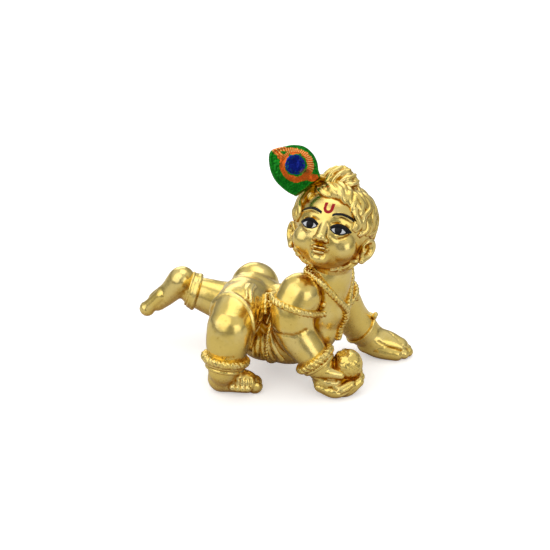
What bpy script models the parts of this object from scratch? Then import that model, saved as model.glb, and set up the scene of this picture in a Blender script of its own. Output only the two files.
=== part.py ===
"""Crawling infant idol with a sweet in its right hand and a plume on its head, cast in one piece.

The figure crawls along +X and turns its face to its right. Its right foot, both hands and its
left knee rest on the ground at Z = 0, and the origin is the middle of the footprint.
Every place on the figure is in pattern millimetres, which are true at the height PATTERN_HEIGHT.
"""

import math

import bmesh
import bpy
from mathutils import Matrix, Vector
from mathutils.bvhtree import BVHTree

# Driving sizes, in metres.
IDOL_HEIGHT = 0.0706
SWEET_DIAMETER = 0.0090
PLUME_THICKNESS = 0.0021
CHAIN_THICKNESS = 0.0015
ANKLET_THICKNESS = 0.0016
LOCK_THICKNESS = 0.0023
FINGER_THICKNESS = 0.0034
TOE_THICKNESS = 0.0030
REST_FLAT_DEPTH = 0.0006

# The height that the pattern's places are drawn at, in pattern millimetres.
PATTERN_HEIGHT = 70.6
UNIT = IDOL_HEIGHT / PATTERN_HEIGHT

# How finely the skin is cut, in metres, and the most triangles that the casting may have.
FORM_VOXEL = 0.65 * UNIT
DETAIL_VOXEL = 0.42 * UNIT
FORM_SMOOTHING_PASSES = 7
DETAIL_SMOOTHING_PASSES = 2
CASTING_TRIANGLES = 9600

# The head's own axes: +X to the figure's right ear, +Y out of the face, +Z to the crown.
HEAD_CENTRE = (14.9, 0.2, 48.6)
FACE_TURN = math.radians(14)
FACE_LIFT = math.radians(31)
HEAD_ROLL = math.radians(6)

GILT_COLOUR = (0.92, 0.66, 0.25, 1.0)


def at(x, y, z):
    """A pattern place as a vector in metres."""
    return Vector((x, y, z)) * UNIT


def head_axes():
    """The head's turn and place, as a matrix from its own pattern millimetres to metres."""
    facing = Vector(
        (
            math.sin(FACE_TURN) * math.cos(FACE_LIFT),
            -math.cos(FACE_TURN) * math.cos(FACE_LIFT),
            math.sin(FACE_LIFT),
        )
    )
    crown = (Vector((0, 0, 1)) - facing * facing.z).normalized()
    side = facing.cross(crown)
    rolled_crown = crown * math.cos(HEAD_ROLL) - side * math.sin(HEAD_ROLL)
    rolled_side = facing.cross(rolled_crown)
    turn = Matrix((rolled_side, facing, rolled_crown)).transposed().to_4x4()
    return Matrix.Translation(at(*HEAD_CENTRE)) @ turn @ Matrix.Scale(UNIT, 4)


HEAD = head_axes()
BODY = Matrix.Scale(UNIT, 4)


def curve_through(stations, steps):
    """Places and radii on a smooth curve through the stations (x, y, z, radius)."""
    points = [Vector(station) for station in stations]
    if len(points) == 2:
        return [points[0].lerp(points[1], k / steps) for k in range(steps + 1)]
    ends = [points[0] * 2 - points[1], *points, points[-1] * 2 - points[-2]]
    found = []
    for i in range(1, len(ends) - 2):
        a, b, c, d = ends[i - 1 : i + 3]
        for k in range(steps):
            t = k / steps
            found.append(
                0.5
                * (
                    b * 2
                    + (c - a) * t
                    + (a * 2 - b * 5 + c * 4 - d) * t**2
                    + (b * 3 - a - c * 3 + d) * t**3
                )
            )
    found.append(points[-1])
    return found


def ring_of_points(form, centre, along, start, radius, sides, squash):
    """One round section of a limb. squash is (direction, share kept) or None."""
    side = along.cross(start).normalized()
    ring = []
    for k in range(sides):
        angle = 2 * math.pi * k / sides
        offset = (start * math.cos(angle) + side * math.sin(angle)) * radius
        if squash:
            offset -= squash[0] * offset.dot(squash[0]) * (1 - squash[1])
        ring.append(form.verts.new(centre + offset))
    return ring


def bridge(form, first, second):
    """The band of faces between two rings of points."""
    count = len(first)
    for k in range(count):
        following = (k + 1) % count
        form.faces.new((first[k], first[following], second[following], second[k]))


def limb(form, axes, stations, sides=14, steps=5, squash=None):
    """A tapered bar with round ends through stations (x, y, z, radius)."""
    path = [
        (axes @ point.to_3d(), point[3] * UNIT)
        for point in curve_through(stations, steps)
    ]
    if squash:
        squash = ((axes.to_3x3() @ Vector(squash[0])).normalized(), squash[1])
    cap = [math.radians(angle) for angle in (70, 45, 20)]
    first, last = path[0], path[-1]
    out_first = (first[0] - path[1][0]).normalized()
    out_last = (last[0] - path[-2][0]).normalized()
    sections = [
        (first[0] + out_first * first[1] * math.sin(a), first[1] * math.cos(a))
        for a in cap
    ]
    sections += path
    sections += [
        (last[0] + out_last * last[1] * math.sin(a), last[1] * math.cos(a))
        for a in reversed(cap)
    ]
    start = out_first.orthogonal().normalized()
    rings = []
    for i, (centre, radius) in enumerate(sections):
        before = sections[max(i - 1, 0)][0]
        after = sections[min(i + 1, len(sections) - 1)][0]
        along = (after - before).normalized()
        start = (start - along * start.dot(along)).normalized()
        rings.append(ring_of_points(form, centre, along, start, radius, sides, squash))
    for first_ring, second_ring in zip(rings, rings[1:]):
        bridge(form, first_ring, second_ring)
    form.faces.new(reversed(rings[0]))
    form.faces.new(rings[-1])


def ball(form, axes, centre, radii, turn=None):
    """An egg of three radii, in pattern millimetres, with its own turn if it has one."""
    shape = Matrix.Diagonal((*radii, 1.0))
    if turn is not None:
        shape = turn.to_4x4() @ shape
    matrix = axes @ Matrix.Translation(Vector(centre)) @ shape
    bmesh.ops.create_icosphere(form, subdivisions=3, radius=1.0, matrix=matrix)


def fused(form, voxel, smoothing, name):
    """The forms run together into one closed, softened skin."""
    mesh = bpy.data.meshes.new(name)
    form.to_mesh(mesh)
    form.free()
    blank = bpy.data.objects.new(name, mesh)
    bpy.context.scene.collection.objects.link(blank)
    remesh = blank.modifiers.new("Skin", "REMESH")
    remesh.mode = "VOXEL"
    remesh.voxel_size = voxel
    soften = blank.modifiers.new("Soften", "SMOOTH")
    soften.factor = 0.5
    soften.iterations = smoothing
    graph = bpy.context.evaluated_depsgraph_get()
    skin = bpy.data.meshes.new_from_object(blank.evaluated_get(graph))
    bpy.data.objects.remove(blank)
    bpy.data.meshes.remove(mesh)
    return skin


def trunk(form):
    """Back, belly, chest, seat and neck."""
    limb(
        form,
        BODY,
        [
            (-11.0, -1.0, 19.8, 8.4),
            (-3.5, -1.0, 18.0, 8.4),
            (4.5, -0.6, 19.6, 8.6),
            (12.0, 0.2, 23.6, 7.8),
        ],
        sides=24,
    )
    ball(form, BODY, (2.2, -2.8, 13.8), (11.6, 10.0, 9.8))
    ball(form, BODY, (-3.6, -5.6, 12.6), (8.0, 8.2, 8.0))
    ball(form, BODY, (9.4, -1.6, 16.8), (8.4, 8.6, 8.6))
    ball(form, BODY, (12.2, 0.0, 23.0), (7.0, 8.0, 8.4))
    ball(form, BODY, (-10.3, -6.8, 22.2), (7.2, 7.0, 7.2))
    ball(form, BODY, (-13.0, 4.7, 21.0), (7.5, 7.2, 7.8))
    limb(form, BODY, [(12.4, 0.2, 28.0, 7.4), (14.6, 0.6, 34.0, 6.2), (15.4, 0.8, 41.0, 6.0)], sides=18)


def right_arm(form):
    """Bent arm from the shoulder to the wrist, with the back of its hand on the ground."""
    limb(
        form,
        BODY,
        [
            (9.4, -7.8, 29.6, 6.5),
            (8.2, -10.2, 24.4, 6.5),
            (9.8, -10.8, 18.6, 5.9),
            (14.4, -10.8, 13.6, 4.8),
            (17.2, -10.3, 10.0, 4.2),
        ],
        sides=20,
    )
    ball(form, BODY, (19.2, -8.8, 5.6), (4.8, 4.5, 4.2))
    ball(form, BODY, (22.4, -6.2, 5.0), (3.6, 3.6, 3.0))


def right_fingers(form):
    """Four fingers cupped under the sweet, and the thumb across them."""
    thick = FINGER_THICKNESS / UNIT
    for stations in (
        ((18.4, -11.6, 4.6, 0.64), (22.8, -10.6, 3.3, 0.62), (25.8, -7.8, 4.9, 0.50)),
        ((20.2, -9.4, 3.0, 0.64), (24.6, -7.8, 2.9, 0.60), (27.0, -5.0, 5.0, 0.48)),
        ((20.2, -6.6, 2.9, 0.62), (24.6, -4.6, 2.9, 0.56), (26.2, -2.8, 5.2, 0.46)),
        ((19.6, -4.6, 3.2, 0.58), (22.9, -2.2, 3.2, 0.52), (24.6, -0.8, 5.6, 0.44)),
        ((16.6, -12.4, 9.0, 0.58), (19.8, -11.6, 9.2, 0.52), (23.4, -9.4, 8.2, 0.40)),
    ):
        limb(form, BODY, [(*place[:3], place[3] * thick) for place in stations])


def left_arm(form):
    """Arm spread out to the left, down to the flat hand."""
    limb(
        form,
        BODY,
        [
            (12.2, 6.2, 26.2, 5.6),
            (13.6, 10.4, 20.6, 5.3),
            (14.6, 13.2, 14.8, 5.3),
            (17.4, 16.6, 9.0, 4.9),
            (20.6, 18.8, 5.4, 4.4),
        ],
        sides=20,
    )
    limb(form, BODY, [(20.4, 18.2, 5.4, 4.4), (23.6, 20.0, 4.6, 4.1), (27.0, 21.2, 3.8, 3.2)], sides=18)


def left_fingers(form):
    """Four fingers and the thumb spread flat on the ground."""
    thick = FINGER_THICKNESS / UNIT
    for stations in (
        ((23.4, 18.8, 4.6, 0.62), (26.8, 19.4, 3.5, 0.56), (29.4, 20.1, 2.6, 0.46)),
        ((23.2, 21.0, 4.9, 0.62), (27.0, 21.6, 3.7, 0.56), (29.8, 22.0, 2.6, 0.46)),
        ((22.6, 22.8, 4.4, 0.60), (26.0, 23.6, 3.3, 0.54), (28.6, 23.8, 2.4, 0.44)),
        ((21.4, 24.0, 3.7, 0.56), (24.0, 25.2, 2.8, 0.50), (26.4, 25.4, 2.2, 0.42)),
        ((18.4, 16.4, 4.8, 0.80), (23.0, 17.0, 3.6, 0.76), (27.6, 18.6, 2.7, 0.60)),
    ):
        limb(form, BODY, [(*place[:3], place[3] * thick) for place in stations])


def right_leg(form):
    """Thigh held out to the side, upright shin and planted foot."""
    limb(
        form,
        BODY,
        [
            (-9.4, -6.0, 21.6, 7.6),
            (-8.0, -13.0, 22.4, 7.8),
            (-6.2, -19.5, 21.8, 6.9),
            (-5.8, -21.6, 20.6, 6.4),
        ],
        sides=20,
    )
    limb(
        form,
        BODY,
        [
            (-5.7, -21.6, 21.4, 6.6),
            (-5.8, -22.8, 16.6, 6.3),
            (-6.2, -23.4, 12.0, 5.2),
            (-6.7, -23.7, 8.4, 4.6),
        ],
        sides=20,
    )
    limb(
        form,
        BODY,
        [(-8.0, -22.6, 5.0, 4.3), (-4.8, -21.4, 4.8, 3.9), (-1.3, -20.0, 4.2, 3.4)],
        sides=18,
    )


def left_leg(form):
    """Thigh down to the knee on the ground, and the shin and foot raised behind."""
    limb(
        form,
        BODY,
        [(-12.0, 4.6, 19.6, 7.0), (-12.9, 7.6, 12.0, 6.4), (-12.9, 8.5, 5.8, 5.6)],
        sides=20,
    )
    limb(
        form,
        BODY,
        [
            (-13.2, 8.5, 6.2, 5.6),
            (-19.4, 5.0, 12.6, 6.7),
            (-25.4, 1.8, 15.4, 5.7),
            (-31.0, -0.7, 17.6, 4.9),
        ],
        sides=20,
    )
    limb(
        form,
        BODY,
        [
            (-34.7, -2.5, 21.0, 4.6),
            (-37.6, -3.9, 16.7, 4.2),
            (-41.6, -5.3, 13.4, 4.2),
        ],
        sides=18,
        squash=((-0.67, -0.23, 0.70), 0.86),
    )


def toes(form, root, forward, across, sizes):
    """Five toes in a row. across points to the side of the big toe, which comes first."""
    root, forward, across = Vector(root), Vector(forward), Vector(across)
    thick = TOE_THICKNESS / UNIT
    for reach, aside, share in sizes:
        knuckle = root + across * aside
        tip = knuckle + forward * reach
        limb(
            form,
            BODY,
            [(*(knuckle - forward * 1.6), share * thick * 0.5), (*tip, share * thick * 0.52)],
            steps=2,
        )


# Each toe: how far it reaches, its place along the row and its share of the thickness.
RIGHT_TOES = (
    (1.3, 4.2, 1.28),
    (2.7, 1.9, 0.58),
    (2.7, 0.5, 0.56),
    (2.6, -0.9, 0.54),
    (2.4, -2.3, 0.52),
)
LEFT_TOES = (
    (3.0, 2.0, 1.45),
    (2.6, 0.4, 1.10),
    (1.8, -0.9, 1.00),
    (0.9, -2.0, 0.95),
    (0.0, -2.8, 0.90),
)


def head_forms(form):
    """Skull, face and neck hair, before the locks are laid on."""
    ball(form, HEAD, (0.0, -0.4, 1.2), (10.5, 10.6, 10.4))
    ball(form, HEAD, (0.0, 0.8, -3.4), (9.3, 9.4, 8.4))
    ball(form, HEAD, (0.0, -2.0, 1.6), (11.5, 10.4, 10.8))
    for side in (-1, 1):
        ball(form, HEAD, (5.2 * side, 5.2, -5.2), (4.2, 4.2, 4.0))
    ball(form, HEAD, (0.0, 6.8, -9.4), (2.7, 2.6, 2.3))


def face(form):
    """A calm infant's features, drawn to the usual proportions."""
    limb(form, HEAD, [(0, 9.6, 0.4, 0.8), (0, 11.0, -3.2, 0.95), (0, 11.5, -4.6, 1.15)])
    limb(form, HEAD, [(-2.3, 8.9, -7.5, 0.35), (0, 9.9, -7.2, 0.62), (2.3, 8.9, -7.5, 0.35)])
    limb(form, HEAD, [(-1.8, 8.7, -8.2, 0.35), (0, 9.5, -8.5, 0.68), (1.8, 8.7, -8.2, 0.35)])
    for side in (-1, 1):
        ball(form, HEAD, (1.25 * side, 10.2, -4.9), (0.9, 0.9, 0.75))
        ball(form, HEAD, (4.2 * side, 8.0, -1.5), (2.4, 1.7, 1.35))
        limb(
            form,
            HEAD,
            [
                (1.9 * side, 9.3, -1.3, 0.3),
                (4.2 * side, 9.5, -0.1, 0.42),
                (6.7 * side, 7.8, -1.2, 0.3),
            ],
        )
        limb(
            form,
            HEAD,
            [
                (1.7 * side, 9.9, 1.5, 0.45),
                (4.2 * side, 9.5, 2.4, 0.55),
                (7.0 * side, 7.6, 1.8, 0.4),
            ],
        )


def ear(form, side):
    """Folded rim, lobe and hollow of one ear."""
    ball(form, HEAD, (10.2 * side, -1.2, -4.8), (1.3, 2.0, 2.8))
    limb(
        form,
        HEAD,
        [
            (10.2 * side, 0.4, -3.4, 0.6),
            (11.3 * side, -0.9, -2.0, 0.8),
            (12.0 * side, -2.0, -3.4, 0.85),
            (11.5 * side, -2.0, -5.6, 0.8),
            (10.4 * side, -0.6, -7.2, 0.95),
        ],
        sides=10,
    )


def draped(skin, places, lift):
    """The places moved to the nearest skin and lifted off it, in pattern millimetres."""
    found = []
    for place in curve_through([(*place, 0.0) for place in places], 4):
        spot, normal = skin.find_nearest(BODY @ place.to_3d())[:2]
        found.append(spot / UNIT + normal * lift)
    return found


def cord(form, skin, places, thick, lift):
    """A cord laid on the skin, with its ends sunk into it."""
    path = draped(skin, places, lift)
    limb(form, BODY, [(*place, thick / 2) for place in path], sides=8, steps=1)


def girdle(skin, centre, facing, reach, stand=0.0):
    """The skin's outline round a centre, in the plane that faces a direction, stood off the skin."""
    centre, facing = Vector(centre), Vector(facing).normalized()
    start = facing.orthogonal().normalized()
    side = facing.cross(start)
    found = []
    for k in range(36):
        angle = 2 * math.pi * k / 36
        outward = start * math.cos(angle) + side * math.sin(angle)
        spot = skin.ray_cast(BODY @ centre, outward, reach * UNIT)[0]
        found.append((spot / UNIT - centre if spot else outward * reach) + outward * stand)
    return [
        centre + (found[k - 1] + found[k] * 2 + found[(k + 1) % 36]) / 4
        for k in range(36)
    ]


def loop(form, places, thick):
    """A closed ring through the places."""
    count = len(places)
    middle = BODY @ (sum(places, Vector()) / count)
    rings = []
    for k in range(count):
        spot = BODY @ places[k]
        along = (places[(k + 1) % count] - places[k - 1]).normalized()
        outward = spot - middle
        outward = (outward - along * outward.dot(along)).normalized()
        rings.append(ring_of_points(form, spot, along, outward, thick / 2 * UNIT, 8, None))
    for k in range(count):
        bridge(form, rings[k - 1], rings[k])


def ornaments(form, skin):
    """Waist chain, cloth, necklace, armlets, bangles and anklets."""
    chain = CHAIN_THICKNESS / UNIT
    band = ANKLET_THICKNESS / UNIT
    # Waist chain of two rows, its clasp at the side, and its free end over the back.
    loop(form, girdle(skin, (0.6, -1.6, 17.4), (1.0, 0.08, -0.10), 13.2), chain * 1.2)
    loop(form, girdle(skin, (-1.4, -1.6, 17.6), (1.0, 0.08, -0.10), 13.4), chain * 0.7)
    cord(form, skin, [(-1.4, -9.6, 25.4), (-1.0, -5.6, 27.4), (1.8, -1.0, 27.4), (4.0, 2.4, 27.6)], chain * 0.9, 0.2)
    # Hems of the cloth round both thighs, and its folds.
    cord(
        form,
        skin,
        [
            (-13.6, -17.6, 21.0),
            (-12.8, -17.6, 25.4),
            (-9.6, -17.0, 29.2),
            (-4.1, -17.5, 28.7),
            (-0.4, -18.4, 25.6),
            (0.6, -19.0, 22.4),
            (0.2, -18.2, 18.6),
        ],
        chain * 0.75,
        0.1,
    )
    cord(
        form,
        skin,
        [(-17.4, 12.4, 12.6), (-13.0, 14.4, 11.4), (-7.6, 12.0, 10.8), (-6.2, 7.0, 10.4), (-8.4, 1.6, 9.6)],
        chain * 0.75,
        0.1,
    )
    for fold in (
        ((-5.6, -8.6, 29.0), (-4.4, -12.4, 29.0), (-2.6, -15.4, 27.6)),
        ((-0.6, -12.6, 23.0), (-1.4, -14.6, 19.4), (-1.6, -15.2, 16.4)),
        ((0.4, -12.0, 18.4), (1.0, -12.4, 14.6), (1.6, -11.2, 10.0)),
        ((0.2, -12.2, 17.4), (-0.6, -13.2, 14.0), (-1.4, -12.0, 9.4)),
        ((0.8, -12.0, 18.0), (2.2, -12.2, 14.4), (3.6, -10.8, 10.2)),
        ((-0.2, -12.6, 19.0), (-2.6, -14.0, 15.6), (-4.8, -13.4, 11.2)),
    ):
        cord(form, skin, fold, chain * 0.85, 0.0)
    # Necklace: two strands that meet on the chest, and their tail.
    cord(form, skin, [(9.6, -4.6, 36.4), (12.8, -5.4, 35.6), (17.0, -4.8, 33.6), (18.7, -3.6, 30.6), (19.6, 0.1, 24.1)], chain, 0.3)
    cord(form, skin, [(17.4, 6.2, 35.0), (18.4, 4.8, 31.4), (18.4, 4.4, 28.0), (19.4, 2.0, 25.4), (19.6, 0.1, 24.1)], chain, 0.3)
    cord(form, skin, [(9.6, -4.6, 36.4), (7.4, 0.6, 36.0), (10.0, 6.6, 35.8), (15.0, 7.2, 35.8), (17.4, 6.2, 35.0)], chain * 0.9, 0.25)
    cord(form, skin, [(19.6, 0.1, 24.1), (19.0, 0.6, 21.0), (17.8, 0.6, 17.4), (16.0, -0.2, 14.4)], chain, 0.25)
    # Armlets with their knots.
    loop(form, girdle(skin, (8.4, -9.8, 27.0), (0.18, 0.36, 1.0), 8.6, 0.2), chain)
    ball(form, BODY, (16.2, -9.6, 27.0), (1.2, 1.2, 1.2))
    loop(form, girdle(skin, (13.1, 8.6, 23.4), (0.20, 0.55, -1.0), 7.0, 0.2), chain)
    # Bangles.
    for centre, facing, reach, share in (
        ((15.8, -10.6, 12.0), (0.62, 0.10, -0.78), 6.2, 1.6),
        ((17.0, -10.4, 10.4), (0.62, 0.10, -0.78), 6.2, 0.8),
        ((16.9, 15.6, 9.9), (0.50, 0.50, -0.75), 6.6, 0.9),
    ):
        loop(form, girdle(skin, centre, facing, reach, 0.3), band * share)
    # Anklets: a heavy ring and plain bands on each leg.
    for centre, share in (
        ((-6.2, -23.3, 12.2), 1.5),
        ((-6.4, -23.4, 10.6), 0.9),
        ((-6.6, -23.5, 9.2), 0.75),
    ):
        loop(form, girdle(skin, centre, (0.04, 0.26, 1.0), 7.2, 0.4), band * share)
    for centre, share in (
        ((-29.4, -0.1, 17.3), 0.85),
        ((-30.3, -0.5, 17.7), 0.75),
        ((-31.8, -1.1, 18.3), 0.80),
    ):
        loop(form, girdle(skin, centre, (-0.86, -0.42, 0.28), 7.0, 0.3), band * share)


def on_scalp(turn, rise, lift):
    """A place on the hair, turned from the face to its right and raised, in degrees."""
    turn, rise = math.radians(turn), math.radians(rise)
    return (
        (10.9 + lift) * math.cos(rise) * math.sin(turn),
        -1.4 + (10.7 + lift) * math.cos(rise) * math.cos(turn),
        1.2 + (10.6 + lift) * math.sin(rise),
    )


def lock(form, places, thick):
    """One lock laid along the scalp through (turn, rise, lift, share of the thickness)."""
    limb(
        form,
        HEAD,
        [
            (*on_scalp(turn, rise, lift), share * thick / 2)
            for turn, rise, lift, share in places
        ],
        sides=10,
        steps=4,
    )


def hair(form):
    """Wavy locks round the head, the fringe, and the top-knot of upswept strands."""
    thick = LOCK_THICKNESS / UNIT
    # Each row: where the lock starts, its sideways sway, and how low it ends.
    for start, sway, end in (
        (-44, 5, 8),
        (-58, -6, -4),
        (-74, 6, -14),
        (-92, -6, -20),
        (-112, 6, -34),
        (-132, -6, -40),
        (-152, 6, -42),
        (-172, -6, -44),
        (168, 6, -42),
        (148, -6, -40),
        (128, 6, -34),
        (108, -6, -24),
        (88, 5, -20),
        (70, -5, -10),
        (54, 4, 4),
    ):
        drop = 58 - end
        lock(
            form,
            [
                (start * 0.97, 58, 0.5, 0.9),
                (start + sway, 58 - drop * 0.25, 1.0, 1.2),
                (start - sway, 58 - drop * 0.5, 0.7, 1.15),
                (start + sway, 58 - drop * 0.75, 0.3, 1.05),
                (start, end, 0.0, 0.6),
            ],
            thick,
        )
    # The fringe swept across the forehead.
    lock(form, [(36, 50, 0.2, 1.1), (12, 48, 0.9, 1.5), (-10, 42, 1.1, 1.4), (-24, 32, 0.8, 0.8)], thick)
    lock(form, [(52, 44, 0.0, 0.9), (30, 42, 0.5, 1.1), (8, 38, 0.7, 0.9), (-4, 35, 0.6, 0.6)], thick)
    lock(form, [(40, 52, 0.0, 0.9), (52, 36, 0.3, 1.1), (60, 20, 0.2, 0.7)], thick)
    lock(form, [(-20, 52, 0.4, 1.2), (-28, 42, 0.8, 1.3), (-34, 30, 0.7, 1.0), (-36, 20, 0.3, 0.6)], thick)
    # The curls behind the jaw, under each ear.
    for side in (-1, 1):
        for reach, low in ((8.0, -9.0), (6.6, -10.4), (4.6, -11.0)):
            limb(
                form,
                HEAD,
                [
                    ((reach + 1.0) * side, -2.4, -5.4, 1.3),
                    ((reach + 0.6) * side, -1.4, low + 1.8, 1.6),
                    (reach * side, -0.4, low, 1.2),
                ],
                sides=10,
                steps=3,
            )
    top_knot(form)


def top_knot(form):
    """The knot of hair on the crown: upswept strands over a ring of short curls."""
    ball(form, HEAD, (0.2, 1.4, 11.4), (4.6, 4.2, 4.2))
    for start, end in (
        ((4.6, 3.4, 11.4), (3.3, 2.2, 15.9)),
        ((3.2, 4.8, 11.8), (1.5, 2.4, 16.8)),
        ((1.2, 5.2, 12.0), (-0.5, 2.2, 16.9)),
        ((-0.8, 5.0, 11.8), (-2.8, 2.0, 15.8)),
        ((-2.0, 4.4, 10.8), (-4.2, 1.8, 14.3)),
        ((-2.8, 3.4, 9.8), (-4.8, 1.4, 12.4)),
        ((4.0, -0.8, 11.6), (2.4, 0.6, 15.6)),
        ((2.2, -2.4, 11.6), (0.8, 0.2, 15.9)),
        ((-0.2, -2.8, 11.6), (-1.2, -0.4, 15.6)),
        ((-2.4, -2.0, 11.2), (-3.0, -0.4, 14.2)),
        ((-3.8, -0.4, 10.4), (-4.3, 0.2, 12.8)),
    ):
        middle = [(a + b) / 2 + c * 0.12 for a, b, c in zip(start, end, (start[0], start[1], 0))]
        limb(form, HEAD, [(*start, 0.95), (*middle, 1.15), (*end, 0.95)], sides=10, steps=3)
    for k in range(9):
        angle = math.radians(-100 + 25 * k)
        foot = (5.0 * math.sin(angle) + 0.3, 1.6 + 4.6 * math.cos(angle), 9.2)
        head = (4.4 * math.sin(angle + 0.25) + 0.3, 1.6 + 4.2 * math.cos(angle + 0.25), 11.6)
        limb(form, HEAD, [(*foot, 1.0), (*head, 0.9)], sides=8, steps=2)


# The plume's outline, seen from its front: to its right and upward from its middle.
PLUME_PLACE = (4.5, -3.3, 65.6)
PLUME_OUTLINE = (
    (0.7, -8.0),
    (-2.0, -6.5),
    (-4.7, -4.1),
    (-6.2, -1.6),
    (-6.9, 1.2),
    (-6.9, 3.6),
    (-6.3, 4.8),
    (-5.2, 5.4),
    (-2.6, 6.0),
    (-0.1, 6.4),
    (2.9, 5.9),
    (5.2, 4.0),
    (6.4, 1.8),
    (6.8, -0.6),
    (7.5, -2.0),
    (8.8, -4.2),
    (7.6, -7.6),
    (4.2, -9.0),
)


def plume(form):
    """A peacock's plume: a rounded plate that faces the viewer, with a raised eye."""
    facing = Vector((0.449, -0.778, 0.438))
    across = Vector((0.866, 0.5, 0.0))
    upward = facing.cross(across)
    axes = Matrix((across, upward, facing)).transposed().to_4x4()
    axes = Matrix.Translation(at(*PLUME_PLACE)) @ axes @ Matrix.Scale(UNIT, 4)
    half = PLUME_THICKNESS / UNIT / 2
    outline = [
        point.xy for point in curve_through([(x, y, 0, 0) for x, y in PLUME_OUTLINE], 3)
    ]
    middle = sum(outline, Vector((0, 0))) / len(outline)
    rings = []
    for share, height in ((0.9, -half), (1.0, -half * 0.45), (1.0, half * 0.45), (0.9, half)):
        rings.append(
            [
                form.verts.new(axes @ (middle + (point - middle) * share).to_3d() + axes.to_3x3() @ Vector((0, 0, height)))
                for point in outline
            ]
        )
    for first_ring, second_ring in zip(rings, rings[1:]):
        bridge(form, first_ring, second_ring)
    form.faces.new(reversed(rings[0]))
    form.faces.new(rings[-1])
    ball(form, axes, (0.4, 1.0, half), (2.6, 2.6, 0.7))


def sweet(form):
    """The round sweet in the right hand."""
    radius = SWEET_DIAMETER / UNIT / 2
    ball(form, BODY, (23.2, -4.9, 9.5), (radius, radius, radius))


def thinned(skin, triangles):
    """The skin with its flatter faces merged, down to a number of triangles."""
    blank = bpy.data.objects.new("skin", skin)
    bpy.context.scene.collection.objects.link(blank)
    merge = blank.modifiers.new("Merge", "DECIMATE")
    merge.ratio = triangles / (2 * len(skin.polygons))
    graph = bpy.context.evaluated_depsgraph_get()
    merged = bpy.data.meshes.new_from_object(blank.evaluated_get(graph))
    bpy.data.objects.remove(blank)
    return merged


def rest_on_ground(skin):
    """Grind the rests flat, and set the footprint's middle on the origin. Gives the move made."""
    form = bmesh.new()
    form.from_mesh(skin)
    ground = min(vert.co.z for vert in form.verts) + REST_FLAT_DEPTH
    everything = form.verts[:] + form.edges[:] + form.faces[:]
    cut = bmesh.ops.bisect_plane(
        form,
        geom=everything,
        dist=1e-7,
        plane_co=(0, 0, ground),
        plane_no=(0, 0, -1),
        clear_outer=True,
    )
    rims = [item for item in cut["geom_cut"] if isinstance(item, bmesh.types.BMEdge)]
    bmesh.ops.edgenet_fill(form, edges=rims)
    bmesh.ops.recalc_face_normals(form, faces=form.faces)
    low = [min(vert.co[k] for vert in form.verts) for k in range(3)]
    high = [max(vert.co[k] for vert in form.verts) for k in range(3)]
    move = Vector((-(low[0] + high[0]) / 2, -(low[1] + high[1]) / 2, -low[2]))
    bmesh.ops.translate(form, verts=form.verts, vec=move)
    bmesh.ops.triangulate(form, faces=form.faces)
    form.to_mesh(skin)
    form.free()
    return move


def bare_figure():
    """The figure's skin before fingers, features, hair and ornaments."""
    form = bmesh.new()
    trunk(form)
    right_arm(form)
    left_arm(form)
    right_leg(form)
    left_leg(form)
    head_forms(form)
    return fused(form, FORM_VOXEL, FORM_SMOOTHING_PASSES, "figure")


def gilt_brass():
    """Polished gold plate on the brass casting."""
    gilt = bpy.data.materials.new("Gilt brass")
    gilt.use_nodes = True
    surface = gilt.node_tree.nodes["Principled BSDF"]
    surface.inputs["Base Color"].default_value = GILT_COLOUR
    surface.inputs["Metallic"].default_value = 1.0
    surface.inputs["Roughness"].default_value = 0.24
    return gilt


def build_casting():
    """The whole idol as one object, standing on its rests."""
    figure = bare_figure()
    form = bmesh.new()
    form.from_mesh(figure)
    skin = BVHTree.FromBMesh(form)
    ornaments(form, skin)
    right_fingers(form)
    left_fingers(form)
    toes(form, (-1.5, -22.9, 5.0), (0.42, -0.62, -0.66), (0.82, 0.57, -0.03), RIGHT_TOES)
    toes(form, (-42.5, -5.6, 13.4), (-0.66, -0.23, -0.71), (0.326, -0.938, 0.0), LEFT_TOES)
    face(form)
    ear(form, 1)
    ear(form, -1)
    hair(form)
    plume(form)
    sweet(form)
    skin = fused(form, DETAIL_VOXEL, DETAIL_SMOOTHING_PASSES, "casting")
    skin = thinned(skin, CASTING_TRIANGLES)
    rest_on_ground(skin)
    idol = bpy.data.objects.new("laddu_gopal_idol", skin)
    skin.materials.append(gilt_brass())
    skin.shade_smooth()
    skin.set_sharp_from_angle(angle=math.radians(40))
    bpy.context.scene.collection.objects.link(idol)
    return idol


def main():
    for obj in list(bpy.data.objects):
        bpy.data.objects.remove(obj)
    build_casting()


if __name__ == "__main__":
    main()
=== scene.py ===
"""A crawling infant cast in gilt brass, with a sweet in its right hand and a painted plume.

Every place on the figure is in pattern millimetres. ORIGIN and UNIT carry them to metres.
"""

import math
from functools import partialmethod

import bmesh
import bpy
import numpy as np
from bpy.props import FloatProperty, FloatVectorProperty, IntProperty, PointerProperty
from mathutils import Matrix, Vector, noise
from mathutils.bvhtree import BVHTree


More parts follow.
